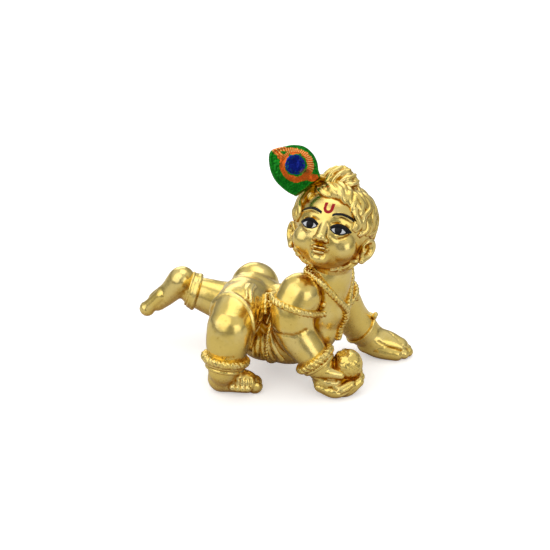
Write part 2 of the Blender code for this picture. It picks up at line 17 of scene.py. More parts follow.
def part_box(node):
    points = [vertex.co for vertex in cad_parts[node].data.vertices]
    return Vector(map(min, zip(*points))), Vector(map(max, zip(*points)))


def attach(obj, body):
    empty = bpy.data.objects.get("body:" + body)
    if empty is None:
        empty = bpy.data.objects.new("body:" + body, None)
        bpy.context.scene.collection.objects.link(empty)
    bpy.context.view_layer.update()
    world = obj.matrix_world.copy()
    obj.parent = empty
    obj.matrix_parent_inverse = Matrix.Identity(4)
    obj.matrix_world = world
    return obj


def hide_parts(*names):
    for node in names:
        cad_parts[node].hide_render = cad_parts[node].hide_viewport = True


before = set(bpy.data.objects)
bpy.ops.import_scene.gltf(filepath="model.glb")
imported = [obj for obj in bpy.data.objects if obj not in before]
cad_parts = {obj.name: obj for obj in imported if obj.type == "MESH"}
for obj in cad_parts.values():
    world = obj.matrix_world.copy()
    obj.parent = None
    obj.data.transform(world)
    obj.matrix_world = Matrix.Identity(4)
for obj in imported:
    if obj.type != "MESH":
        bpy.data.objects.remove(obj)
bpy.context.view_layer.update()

bl_info = {
    "name": "Crawling infant idol",
    "version": (1, 0, 0),
    "blender": (4, 5, 0),
    "location": "3D View > Sidebar > Idol",
    "description": "Gilt brass casting of a crawling infant with a sweet and a painted plume",
    "category": "Object",
}

NODE = "laddu_gopal_idol"
LOW, HIGH = [Vector(corner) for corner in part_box(NODE)]

# The pattern's low corner and length, which lie on those of the cast solid.
PATTERN_LOW = Vector((-45.97, -30.05, 1.08))
PATTERN_LENGTH = 77.26
UNIT = (HIGH.x - LOW.x) / PATTERN_LENGTH
ORIGIN = LOW - PATTERN_LOW * UNIT

HEAD_CENTRE = (14.9, 0.2, 48.6)
FACE_TURN = math.radians(14)
FACE_LIFT = math.radians(31)
HEAD_ROLL = math.radians(6)
VIEW_DIRECTION = Vector((0.449, -0.778, 0.438)).normalized()
VIEW_TARGET = (0.0, -6.0, 32.7)
CAMERA_GAP = 0.45
SENSOR_WIDTH = 36
# The view's width at the target, from its pixels and their number in a millimetre.
VIEW_WIDTH = 550 / 3.5 / 1000

# Gap between a rope's sections, and how many places outline the waist and the rings.
ROPE_STEP = 0.34
WAIST_PLACES = 96
RING_PLACES = 72
# Turns from one bead of a knot to the next, and from one ray to the next.
BEAD_TURN = 1.9
GOLDEN_ANGLE = 2.39996
# The strength of the hammered, pitted relief in the gold, and its depth in metres.
BUMP_STRENGTH = 0.4
BUMP_DEPTH = 0.00012


class CastingSizes(bpy.types.PropertyGroup):
    """How thick the small parts are, and how finely each part is cut."""

    body_grain: FloatProperty(
        name="Body grain",
        description="Cell size of the trunk and limbs",
        default=0.00037,
        min=0.0002,
        unit="LENGTH",
    )
    carving_grain: FloatProperty(
        name="Carving grain",
        description="Cell size of head, hands and feet",
        default=0.00022,
        min=0.0001,
        unit="LENGTH",
    )
    ornament_grain: FloatProperty(
        name="Ornament grain",
        description="Cell size of chains and rings",
        default=0.000173,
        min=0.0001,
        unit="LENGTH",
    )
    lock_thickness: FloatProperty(
        name="Lock thickness",
        description="Thickness of one lock of hair",
        default=0.0029,
        unit="LENGTH",
    )
    chain_thickness: FloatProperty(
        name="Chain thickness",
        description="Thickness of the waist chain and necklace",
        default=0.0015,
        unit="LENGTH",
    )
    bangle_thickness: FloatProperty(
        name="Bangle thickness",
        description="Thickness of the heavier rings",
        default=0.0016,
        unit="LENGTH",
    )
    finger_thickness: FloatProperty(
        name="Finger thickness",
        description="Thickness of the middle finger",
        default=0.0034,
        unit="LENGTH",
    )
    toe_thickness: FloatProperty(
        name="Toe thickness",
        description="Thickness of the second toe",
        default=0.0030,
        unit="LENGTH",
    )
    sweet_diameter: FloatProperty(
        name="Sweet diameter", description="Diameter of the sweet", default=0.0090, unit="LENGTH"
    )
    plume_thickness: FloatProperty(
        name="Plume thickness",
        description="Thickness of the plume at its middle",
        default=0.0021,
        unit="LENGTH",
    )
    shading_rays: IntProperty(
        name="Shading rays",
        description="Rays that find how enclosed a place is",
        default=10,
        min=4,
        max=64,
    )


class PlatingColours(bpy.types.PropertyGroup):
    """Gold tones and enamel paints."""

    # Also the paler plate on crests, which is partly a painted highlight.
    bright_gold: FloatVectorProperty(
        name="Bright gold",
        description="Plate on crests",
        size=4,
        subtype="COLOR",
        min=0,
        max=1,
        default=(1.0, 0.85, 0.42, 1),
    )
    gold: FloatVectorProperty(
        name="Gold",
        description="Plate on open skin",
        size=4,
        subtype="COLOR",
        min=0,
        max=1,
        default=(0.94, 0.70, 0.19, 1),
    )
    # The brown of lacquer with painted shade in hollows, enclosed places and undersides, and of the
    # pits.
    shade_gold: FloatVectorProperty(
        name="Deep gold",
        description="Lacquer in hollows",
        size=4,
        subtype="COLOR",
        min=0,
        max=1,
        default=(0.45, 0.18, 0.002, 1),
    )
    plume_green: FloatVectorProperty(
        name="Plume green",
        description="Enamel of the plume",
        size=4,
        subtype="COLOR",
        min=0,
        max=1,
        default=(0.0, 0.16, 0.004, 1),
    )
    plume_orange: FloatVectorProperty(
        name="Plume orange",
        description="Enamel round the eye",
        size=4,
        subtype="COLOR",
        min=0,
        max=1,
        default=(0.86, 0.13, 0.006, 1),
    )
    plume_blue: FloatVectorProperty(
        name="Plume blue",
        description="Enamel of the eye",
        size=4,
        subtype="COLOR",
        min=0,
        max=1,
        default=(0.0, 0.014, 0.30, 1),
    )
    line_black: FloatVectorProperty(
        name="Line black",
        description="Paint of brows and lashes",
        size=4,
        subtype="COLOR",
        min=0,
        max=1,
        default=(0.006, 0.006, 0.008, 1),
    )
    eye_white: FloatVectorProperty(
        name="Eye white",
        description="Paint of the eyes",
        size=4,
        subtype="COLOR",
        min=0,
        max=1,
        default=(0.72, 0.74, 0.78, 1),
    )
    mark_red: FloatVectorProperty(
        name="Mark red",
        description="Paint of the brow mark",
        size=4,
        subtype="COLOR",
        min=0,
        max=1,
        default=(0.42, 0.008, 0.012, 1),
    )


# ---------------------------------------------------------------- places and forms

def head_axes():
    """The head's turn and place: +X to its right ear, +Y out of the face, +Z to the crown."""
    facing = Vector(
        (
            math.sin(FACE_TURN) * math.cos(FACE_LIFT),
            -math.cos(FACE_TURN) * math.cos(FACE_LIFT),
            math.sin(FACE_LIFT),
        )
    )
    crown = (Vector((0, 0, 1)) - facing * facing.z).normalized()
    side = facing.cross(crown)
    rolled_crown = crown * math.cos(HEAD_ROLL) - side * math.sin(HEAD_ROLL)
    rolled_side = facing.cross(rolled_crown)
    turn = Matrix((rolled_side, facing, rolled_crown)).transposed().to_4x4()
    return BODY @ Matrix.Translation(Vector(HEAD_CENTRE)) @ turn


BODY = Matrix.Translation(ORIGIN) @ Matrix.Scale(UNIT, 4)
BODY_BACK = BODY.inverted()
HEAD = head_axes()


def plume_axes():
    """The plume's plane: across, upward and out of its front."""
    across = Vector((0.866, 0.5, 0.0))
    upward = VIEW_DIRECTION.cross(across).normalized()
    across = upward.cross(VIEW_DIRECTION)
    turn = Matrix((across, upward, VIEW_DIRECTION)).transposed().to_4x4()
    return BODY @ Matrix.Translation(Vector(PLUME_PLACE)) @ turn


def curve_through(stations, steps):
    """Points on a smooth curve through the stations."""
    points = [Vector(station) for station in stations]
    if steps == 1:
        return points
    if len(points) == 2:
        return [points[0].lerp(points[1], k / steps) for k in range(steps + 1)]
    ends = [points[0] * 2 - points[1], *points, points[-1] * 2 - points[-2]]
    found = []
    for i in range(1, len(ends) - 2):
        a, b, c, d = ends[i - 1 : i + 3]
        for k in range(steps):
            t = k / steps
            found.append(
                0.5
                * (
                    b * 2
                    + (c - a) * t
                    + (a * 2 - b * 5 + c * 4 - d) * t**2
                    + (b * 3 - a - c * 3 + d) * t**3
                )
            )
    found.append(points[-1])
    return found


def line_through(places, steps):
    """Places on a smooth curve through the given ones."""
    return [point.to_3d() for point in curve_through([(*place, 0) for place in places], steps)]


def ring_of_points(form, centre, along, start, radius, sides, squash=None):
    """One round section of a limb. squash is (direction, share kept) or None."""
    side = along.cross(start).normalized()
    ring = []
    for k in range(sides):
        angle = 2 * math.pi * k / sides
        offset = (start * math.cos(angle) + side * math.sin(angle)) * radius
        if squash:
            offset -= squash[0] * offset.dot(squash[0]) * (1 - squash[1])
        ring.append(form.verts.new(centre + offset))
    return ring


def bridge(form, first, second):
    """The band of faces between two rings of points."""
    count = len(first)
    for k in range(count):
        following = (k + 1) % count
        form.faces.new((first[k], first[following], second[following], second[k]))


def limb(form, axes, stations, sides=14, steps=5, squash=None):
    """A tapered bar with round ends through stations (x, y, z, radius)."""
    path = [
        (axes @ point.to_3d(), point[3] * UNIT)
        for point in curve_through(stations, steps)
    ]
    if squash:
        squash = ((axes.to_3x3() @ Vector(squash[0])).normalized(), squash[1])
    cap = [math.radians(angle) for angle in (70, 45, 20)]
    first, last = path[0], path[-1]
    out_first = (first[0] - path[1][0]).normalized()
    out_last = (last[0] - path[-2][0]).normalized()
    sections = [
        (first[0] + out_first * first[1] * math.sin(a), first[1] * math.cos(a))
        for a in cap
    ]
    sections += path
    sections += [
        (last[0] + out_last * last[1] * math.sin(a), last[1] * math.cos(a))
        for a in reversed(cap)
    ]
    start = out_first.orthogonal().normalized()
    rings = []
    for i, (centre, radius) in enumerate(sections):
        before = sections[max(i - 1, 0)][0]
        after = sections[min(i + 1, len(sections) - 1)][0]
        along = (after - before).normalized()
        start = (start - along * start.dot(along)).normalized()
        rings.append(ring_of_points(form, centre, along, start, radius, sides, squash))
    for first_ring, second_ring in zip(rings, rings[1:]):
        bridge(form, first_ring, second_ring)
    form.faces.new(reversed(rings[0]))
    form.faces.new(rings[-1])


def ball(form, axes, centre, radii, turn=None, detail=3):
    """An egg of three radii, with its own turn if it has one."""
    shape = Matrix.Diagonal((*radii, 1.0))
    if turn is not None:
        shape = turn.to_4x4() @ shape
    matrix = axes @ Matrix.Translation(Vector(centre)) @ shape
    bmesh.ops.create_icosphere(form, subdivisions=detail, radius=1.0, matrix=matrix)


def facing_turn(normal, along):
    """The turn that lays an egg's third radius along a normal."""
    normal = Vector(normal).normalized()
    side = Vector(along).cross(normal)
    side = side.normalized() if side.length > 1e-4 else normal.orthogonal().normalized()
    return Matrix((side, normal.cross(side), normal)).transposed()


def modified(mesh, *settings):
    """The mesh after modifiers, each given as (kind, {setting: value})."""
    blank = bpy.data.objects.new("blank", mesh)
    bpy.context.scene.collection.objects.link(blank)
    for kind, values in settings:
        modifier = blank.modifiers.new(kind, kind)
        for name, value in values.items():
            setattr(modifier, name, value)
    graph = bpy.context.evaluated_depsgraph_get()
    result = bpy.data.meshes.new_from_object(blank.evaluated_get(graph))
    bpy.data.objects.remove(blank)
    return result


def mesh_of(form, name):
    """The form's own mesh."""
    mesh = bpy.data.meshes.new(name)
    form.to_mesh(mesh)
    form.free()
    return mesh


def fused(form, grain, passes, name):
    """The forms run together into one closed, softened skin."""
    mesh = mesh_of(form, name)
    skin = modified(
        mesh,
        ("REMESH", {"mode": "VOXEL", "voxel_size": grain}),
        ("SMOOTH", {"factor": 0.5, "iterations": passes}),
    )
    bpy.data.meshes.remove(mesh)
    return skin


def grown_from(parts, grain, passes):
    """A new form that starts as the parts' fused skin."""
    form = bmesh.new()
    for part in parts:
        part(form)
    base = fused(form, grain, passes, "base")
    form = bmesh.new()
    form.from_mesh(base)
    bpy.data.meshes.remove(base)
    return form


def spots_of(mesh):
    """The mesh's points as an array."""
    spots = np.empty(len(mesh.vertices) * 3, np.float32)
    mesh.vertices.foreach_get("co", spots)
    return spots.reshape(-1, 3)


def normals_of(mesh):
    """The mesh's point normals as an array."""
    normals = np.empty(len(mesh.vertices) * 3, np.float32)
    mesh.vertex_normals.foreach_get("vector", normals)
    return normals.reshape(-1, 3)


def put_spots(mesh, spots):
    """Move the mesh's points to the given spots."""
    mesh.vertices.foreach_set("co", np.ascontiguousarray(spots, np.float32).ravel())
    mesh.update()


def chased(mesh, axes, lines):
    """Lines (places, width, height) raised out of the skin, or cut in where height is below 0."""
    spots, normals = spots_of(mesh), normals_of(mesh)
    move = np.zeros(len(spots), np.float32)
    for places, width, height in lines:
        places = line_through(places, 14) if len(places) > 1 else [Vector(places[0])]
        path = [np.array(axes @ place) for place in places]
        path = [spots[np.linalg.norm(spots - place, axis=1).argmin()] for place in path]
        path = np.array(path, np.float32)
        reach = width * UNIT
        near = np.where(
            ((spots > path.min(0) - 2 * reach) & (spots < path.max(0) + 2 * reach)).all(1)
        )[0]
        if not len(near):
            continue
        gap = np.linalg.norm(spots[near, None] - path[None], axis=2).min(1) / reach
        amount = height * UNIT * np.exp(-((gap * 1.5) ** 2))
        move[near] = np.where(np.abs(amount) > np.abs(move[near]), amount, move[near])
    put_spots(mesh, spots + normals * move[:, None])


def hand_worked(mesh, depth, size, seed):
    """The slight unevenness of a hand-finished skin."""
    spots, normals = spots_of(mesh), normals_of(mesh)
    shift = Vector((seed, seed * 1.7, seed * 0.3))
    lift = [noise.noise(Vector(spot) / (size * UNIT) + shift) for spot in spots.tolist()]
    put_spots(mesh, spots + normals * (np.array(lift, np.float32) * depth * UNIT)[:, None])


# ---------------------------------------------------------------- shading masks

def neighbour_mean(mesh, values, passes):
    """Values evened out over the mesh's edges."""
    edges = np.empty(len(mesh.edges) * 2, np.int32)
    mesh.edges.foreach_get("vertices", edges)
    a, b = edges.reshape(-1, 2).T
    count = np.bincount(a, minlength=len(values)) + np.bincount(b, minlength=len(values))
    for _ in range(passes):
        total = np.bincount(a, values[b], len(values)) + np.bincount(b, values[a], len(values))
        values = 0.5 * values + 0.5 * total / np.maximum(count, 1)
    return values


def groove_depth(mesh, passes):
    """How far each point lies under its evened-out neighbourhood, in pattern millimetres."""
    even = modified(mesh, ("SMOOTH", {"factor": 0.5, "iterations": passes}))
    depth = ((spots_of(even) - spots_of(mesh)) * normals_of(mesh)).sum(1) / UNIT
    bpy.data.meshes.remove(even)
    return depth


def hemisphere(count):
    """Evenly spread directions round +Z."""
    found = []
    for k in range(count):
        height = (k + 0.5) / count * 0.85 + 0.1
        angle = k * GOLDEN_ANGLE
        flat = math.sqrt(1 - height * height)
        found.append(Vector((flat * math.cos(angle), flat * math.sin(angle), height)))
    return found


def enclosure(mesh, tree, rays, reach):
    """Share of the sky that the casting hides from each point."""
    spots, normals = spots_of(mesh).tolist(), normals_of(mesh).tolist()
    around = hemisphere(rays)
    found = np.zeros(len(spots))
    lift = 0.3 * UNIT
    far = reach * UNIT
    up = Vector((0, 0, 1))
    for i, (spot, normal) in enumerate(zip(spots, normals)):
        normal = Vector(normal)
        turn = up.rotation_difference(normal)
        origin = Vector(spot) + normal * lift
        hidden = 0.0
        for direction in around:
            ray = turn @ direction
            place, face, _, gap = tree.ray_cast(origin, ray, far)
            if place is not None and face.dot(ray) < 0:
                hidden += 1 - gap / far
        found[i] = hidden / rays
    return found


def mark_hollows(mesh, tree, rays):
    """Write the masks for the hollows and the crests, which the plating reads: painted shade in
    grooves and enclosed places, and the crests' paler plate with its painted highlight.
    """
    fine = groove_depth(mesh, 8)
    broad = groove_depth(mesh, 50)
    # Painted shade with lacquer: the deeper a groove, the more of the brown colour it gets.
    hollow_shade = np.clip(fine / 0.10, 0, 1) * 0.45 + np.clip(broad / 0.42, 0, 1) * 0.75
    # Crests: convex places, for the paler plate with its painted highlight.
    crest_highlight = np.clip(-fine / 0.10, 0, 1) * 0.5 + np.clip(-broad / 0.40, 0, 1) * 0.5
    if tree is not None:
        # Painted shade: places that the casting encloses get more of the brown colour.
        enclosed_shade = neighbour_mean(mesh, enclosure(mesh, tree, rays, 5.0), 3)
        hollow_shade = hollow_shade + np.clip(enclosed_shade * 2.2 - 0.16, 0, 1) * 0.8
    for name, values in (("hollow_shade", hollow_shade), ("crest_highlight", crest_highlight)):
        values = neighbour_mean(mesh, np.clip(values, 0, 1), 1)
        layer = mesh.attributes.new(name, "FLOAT", "POINT")
        layer.data.foreach_set("value", values.astype(np.float32))


def casting_tree():
    """The cast solid, for finding how enclosed a place is."""
    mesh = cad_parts[NODE].data
    return BVHTree.FromPolygons(
        [v.co for v in mesh.vertices], [tuple(p.vertices) for p in mesh.polygons]
    )


def add_piece(mesh, name, material, tree=None, rays=8):
    """One finished piece of the casting, ridden and standing for the cast solid."""
    spots = spots_of(mesh)
    spots[:, 2] = np.maximum(spots[:, 2], LOW.z)
    put_spots(mesh, spots)
    mark_hollows(mesh, tree, rays)
    mesh.name = name
    piece = bpy.data.objects.new(name, mesh)
    bpy.context.scene.collection.objects.link(piece)
    mesh.materials.append(material)
    mesh.shade_smooth()
    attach(piece, "root")
    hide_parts(NODE)
    return piece


# ---------------------------------------------------------------- the bare figure

def bars(form, sides, *paths):
    """Tapered bars of the figure, each through stations (x, y, z, radius)."""
    for stations in paths:
        limb(form, BODY, stations, sides)


def trunk(form):
    """Back, belly, chest, seat and the root of the neck."""
    back = (
        (-11.0, -1.0, 19.8, 8.4), (-3.5, -1.0, 18.0, 8.4), (4.5, -0.6, 19.6, 8.6),
        (12.0, 0.2, 23.6, 7.8),
    )
    bars(form, 24, back)
    for centre, radii in (
        ((2.2, -2.8, 13.8), (11.6, 10.0, 9.8)), ((-3.6, -5.6, 12.6), (8.0, 8.2, 8.0)),
        ((9.4, -1.6, 16.8), (8.4, 8.6, 8.6)), ((12.2, 0.0, 23.0), (7.0, 8.0, 8.4)),
        ((-10.3, -6.8, 22.2), (7.2, 7.0, 7.2)), ((-13.0, 4.7, 21.0), (7.5, 7.2, 7.8)),
    ):
        ball(form, BODY, centre, radii)


def neck(form):
    """The neck, drawn in towards the head."""
    bars(form, 18, ((12.4, 0.2, 28.0, 7.4), (14.6, 0.6, 34.0, 6.2), (15.2, 0.8, 38.6, 5.9 * 0.84)))


def neck_top(form):
    """The neck's upper end, which is cast with the head."""
    bars(form, 18, ((14.8, 0.6, 34.6, 5.1), (15.1, 0.7, 38.2, 6.1), (15.4, 0.8, 42.0, 6.0)))


def bare_neck(form):
    """The whole neck, under the necklace."""
    bars(form, 18, ((12.4, 0.2, 28.0, 7.4), (14.6, 0.6, 34.0, 6.2), (15.4, 0.8, 41.0, 6.0)))


def upper_limbs(form):
    """Both arms down to the bangles."""
    right = (
        (9.4, -7.8, 29.6, 6.5), (8.2, -10.2, 24.4, 6.5), (9.8, -10.8, 18.6, 5.9),
        (14.4, -10.8, 13.6, 4.8), (16.4, -10.4, 11.1, 4.3),
    )
    left = (
        (12.2, 6.2, 26.2, 5.6), (13.6, 10.4, 20.6, 5.3), (14.6, 13.2, 14.8, 5.3),
        (17.4, 16.6, 9.0, 4.9), (18.6, 17.5, 7.4, 4.5),
    )
    bars(form, 20, right, left)


def lower_limbs(form):
    """Both legs down to the anklets."""
    right_thigh = (
        (-9.4, -6.0, 21.6, 7.6), (-8.0, -13.0, 22.4, 7.8), (-6.2, -19.5, 21.8, 6.9),
        (-5.8, -21.6, 20.6, 6.4),
    )
    right_shin = (
        (-5.7, -21.6, 21.4, 6.6), (-5.8, -22.8, 16.6, 6.3), (-6.2, -23.4, 12.0, 5.2),
        (-6.5, -23.6, 9.8, 4.6),
    )
    left_thigh = ((-12.0, 4.6, 19.6, 7.0), (-12.9, 7.6, 12.0, 6.4), (-12.9, 8.5, 5.8, 5.6))
    left_shin = (
        (-13.2, 8.5, 6.2, 5.6), (-19.4, 5.0, 12.6, 6.7), (-25.4, 1.8, 15.4, 5.7),
        (-29.6, -0.2, 17.1, 4.9),
    )
    bars(form, 20, right_thigh, right_shin, left_thigh, left_shin)


def right_palm(form):
    """Wrist, palm and the heel of the fingers of the right hand."""
    bars(form, 20, ((14.4, -10.8, 13.6, 4.3), (16.0, -10.5, 11.6, 4.2), (17.2, -10.3, 10.0, 4.3)))
    ball(form, BODY, (19.2, -8.8, 5.6), (4.8, 4.5, 4.2))
    ball(form, BODY, (22.4, -6.2, 5.0), (3.6, 3.6, 3.0))


def left_palm(form):
    """Wrist and flat palm of the left hand."""
    bars(form, 20, ((17.0, 16.2, 9.8, 4.4), (18.8, 17.6, 7.2, 4.4), (20.4, 18.2, 5.4, 4.4)))
    bars(form, 18, ((20.4, 18.2, 5.4, 4.4), (23.6, 20.0, 4.6, 4.1), (27.0, 21.2, 3.8, 3.2)))


def right_sole(form):
    """Ankle and planted sole of the right foot."""
    bars(form, 20, ((-6.3, -23.4, 11.6, 4.7), (-6.7, -23.7, 8.4, 4.6)))
    bars(form, 18, ((-8.0, -22.6, 5.0, 4.3), (-4.8, -21.4, 4.8, 3.9), (-1.3, -20.0, 4.2, 3.4)))


def left_sole(form):
    """Ankle and raised, slightly flattened sole of the left foot."""
    bars(form, 20, ((-27.6, 0.8, 16.4, 4.6), (-31.0, -0.7, 17.6, 4.7)))
    sole = ((-34.7, -2.5, 21.0, 4.6), (-37.9, -3.9, 16.9, 3.8), (-41.3, -5.3, 13.8, 3.5))
    limb(form, BODY, sole, 18, squash=((-0.67, -0.23, 0.70), 0.90))


def head_forms(form):
    """Skull, cheeks and chin."""
    for centre, radii in (
        ((0.0, -0.4, 1.2), (10.5, 10.6, 10.4)), ((0.0, 0.8, -3.4), (9.3, 9.4, 8.4)),
        ((0.0, -2.0, 1.6), (11.5, 10.4, 10.8)),
    ):
        ball(form, HEAD, centre, radii, detail=4)
    for side in (-1, 1):
        ball(form, HEAD, (5.0 * side, 4.9, -5.0), (4.2, 3.7, 4.2))
    ball(form, HEAD, (0.0, 6.8, -9.4), (2.7, 2.6, 2.3))


def bare_skin():
    """The whole figure without hair and ornaments, for laying things on."""
    form = bmesh.new()
    for part in (
        trunk, upper_limbs, lower_limbs, right_palm, left_palm, right_sole, left_sole, head_forms,
        bare_neck,
    ):
        part(form)
    mesh = fused(form, 0.55 * UNIT, 8, "bare")
    kit = bmesh.new()
    kit.from_mesh(mesh)
    tree = BVHTree.FromBMesh(kit)
    kit.free()
    bpy.data.meshes.remove(mesh)
    return tree


# ---------------------------------------------------------------- trunk, limbs and cloth

def make_body(sizes, material):
    """Trunk and limbs, with the cloth's hems and the creases of a plump infant."""
    skin = bare_skin()
    form = grown_from((trunk, upper_limbs, lower_limbs, neck), 0.5 * UNIT, 9)
    for places, thick in HEMS:
        cord(form, skin, places, thick * 1.15, 0.16)
    mesh = fused(form, sizes.body_grain, 2, "body")
    hand_worked(mesh, 0.10, 5.0, 3.1)
    chased(mesh, BODY, CREASES)
    add_piece(mesh, "body", material, casting_tree(), sizes.shading_rays)


# The cloth's hems and gathered folds: (places, thickness).
HEMS = (
    (
        (
            (-13.6, -17.6, 21.0), (-12.8, -17.6, 25.4), (-9.6, -17.0, 29.2), (-4.1, -17.5, 28.7),
            (-0.4, -18.4, 25.6), (0.6, -19.0, 22.4), (0.2, -18.2, 18.6), (-0.4, -16.4, 15.0),
        ),
        0.85,
    ),
    (
        (
            (-17.4, 12.4, 12.6), (-13.0, 14.4, 11.4), (-7.6, 12.0, 10.8), (-6.2, 7.0, 10.4),
            (-8.4, 1.6, 9.6),
        ),
        0.85,
    ),
    (((-5.6, -8.6, 29.0), (-4.4, -12.4, 29.0), (-2.6, -15.4, 27.6)), 1.0),
    (((-6.6, -9.2, 29.0), (-5.6, -12.8, 29.0), (-4.0, -15.8, 28.0)), 0.7),
)

# Creases of the skin: (places, width, depth).
CREASES = (
    (
        ((4.6, -15.4, 20.6), (8.8, -17.0, 20.6), (12.8, -16.0, 21.2), (14.6, -13.0, 22.2)), 0.8,
        -0.30,
    ),
    (((12.0, 2.6, 31.4), (16.4, 2.8, 30.0), (19.0, 5.6, 27.0), (18.6, 8.8, 23.6)), 1.0, -0.35),
    (((-10.0, -27.5, 15.2), (-5.6, -29.0, 15.0), (-1.0, -27.0, 15.4)), 0.8, -0.14),
    (((-2.6, -12.0, 27.2), (-0.4, -15.4, 25.0), (0.2, -16.6, 21.6)), 0.9, -0.30),
    (((-20.0, 0.2, 21.6), (-19.4, -2.2, 18.0), (-18.8, -2.6, 14.0)), 0.9, -0.22),
    (((12.6, -4.6, 30.4), (15.6, -6.8, 26.4), (15.4, -8.2, 21.4)), 1.0, -0.30),
)


def draped(skin, places, lift):
    """The places moved to the nearest skin and lifted off it."""
    found = []
    for place in line_through(places, 4):
        spot, normal = skin.find_nearest(BODY @ place)[:2]
        found.append(BODY_BACK @ spot + normal * lift)
    return found


def cord(form, skin, places, thick, lift):
    """A plain cord laid on the skin, with its ends sunk into it."""
    path = draped(skin, places, lift)
    limb(form, BODY, [(*place, thick / 2) for place in path], sides=8, steps=1)


def even_path(places, spacing, closed):
    """Places at equal steps along the path, with their directions."""
    path = [Vector(place) for place in places]
    if closed:
        path.append(path[0])
    length = sum((b - a).length for a, b in zip(path, path[1:]))
    count = max(round(length / spacing), 3)
    step = length / count
    found, run, due = [], 0.0, 0.0
    for a, b in zip(path, path[1:]):
        gap = (b - a).length
        while due <= run + gap + 1e-9 and gap > 0:
            found.append((a.lerp(b, (due - run) / gap), (b - a).normalized()))
            due += step
        run += gap
    return found[:count] if closed else found


def rope(form, skin, places, thick, closed, lay, lift, beads):
    """Two strands that wind round each other once in a lay, on the skin, with grains along them."""
    spots = even_path(places, ROPE_STEP, closed)
    count = len(spots)
    turns = max(round(count * ROPE_STEP / lay), 1)
    frames = []
    for spot, along in spots:
        normal = skin.find_nearest(BODY @ spot)[1]
        normal = (normal - along * normal.dot(along)).normalized()
        frames.append((spot + normal * lift, along, normal, along.cross(normal)))
    for strand in (0, 1):
        centres = []
        for k, (spot, along, out, side) in enumerate(frames):
            angle = math.pi * strand + 2 * math.pi * turns * k / count
            centres.append(
                spot + (out * (math.cos(angle) * 0.8 + 0.5) + side * math.sin(angle)) * thick * 0.26
            )
        if closed:
            loop(form, centres, thick * 0.56, sides=6)
        else:
            limb(form, BODY, [(*c, thick * 0.28) for c in centres], sides=6, steps=1)
    if beads:
        for k, (spot, along, out, side) in enumerate(frames[::3]):
            sway = side * (thick * 0.3 * (-1) ** k)
            ball(form, BODY, spot + sway + out * thick * 0.34, (beads, beads, beads), detail=1)


def beads_round(form, skin, place, count, spread, rise, size):
    """A knot of beads round the skin's nearest spot."""
    spot = BODY_BACK @ skin.find_nearest(BODY @ Vector(place))[0]
    for k in range(count):
        angle = k * BEAD_TURN
        offset = Vector((math.cos(angle), math.sin(angle), math.cos(angle * 1.3))) * Vector(spread)
        ball(form, BODY, spot + offset + Vector((0, 0, rise)), (size, size, size), detail=2)


def girdle(skin, centre, facing, reach, count, stand=0.0):
    """The skin's outline round a centre, in the plane that faces a direction, stood off it."""
    centre, facing = Vector(centre), Vector(facing).normalized()
    start = facing.orthogonal().normalized()
    side = facing.cross(start)
    found = []
    for k in range(count):
        angle = 2 * math.pi * k / count
        outward = start * math.cos(angle) + side * math.sin(angle)
        spot = skin.ray_cast(BODY @ centre, outward, reach * UNIT)[0]
        found.append((BODY_BACK @ spot - centre if spot else outward * reach) + outward * stand)
    return [
        centre + (found[k - 1] + found[k] * 2 + found[(k + 1) % count]) / 4 for k in range(count)
    ]


def loop(form, places, thick, sides=10):
    """A closed ring through the places."""
    count = len(places)
    middle = BODY @ (sum(places, Vector()) / count)
    rings = []
    for k in range(count):
        spot = BODY @ places[k]
        along = (places[(k + 1) % count] - places[k - 1]).normalized()
        outward = spot - middle
        outward = (outward - along * outward.dot(along)).normalized()
        rings.append(ring_of_points(form, spot, along, outward, thick / 2 * UNIT, sides))
    for k in range(count):
        bridge(form, rings[k - 1], rings[k])


def make_cloth(sizes, material):
    """Pleats of the loincloth that hang from the waist chain over the near side."""
    skin = bare_skin()
    form = bmesh.new()
    top = [(-1.6, -12.4, 20.0), (-0.8, -12.6, 20.2), (0.0, -12.4, 20.0), (0.8, -12.0, 19.6)]
    low = [(-4.4, -13.4, 11.4), (-1.8, -12.6, 8.8), (1.2, -11.4, 7.8), (5.0, -10.8, 9.0)]
    pleats = list(zip(line_through(top, 8), line_through(low, 8)))
    for head, foot in pleats[::6]:
        path = draped(skin, [head, head.lerp(foot, 0.5) + Vector((0, -0.6, 0)), foot], -0.6)
        last = len(path) - 1
        limb(form, BODY, [(*p, 0.85 + 0.55 * i / last) for i, p in enumerate(path)], steps=1)
    mesh = fused(form, sizes.ornament_grain * 1.1, 12, "loincloth pleats")
    hand_worked(mesh, 0.08, 2.4, 7.7)
    add_piece(mesh, "loincloth_pleats", material, casting_tree(), sizes.shading_rays)


def add_ornament(form, sizes, name, material):
    """The finished piece of chains or rings."""
    add_piece(fused(form, sizes.ornament_grain, 1, name), name, material)


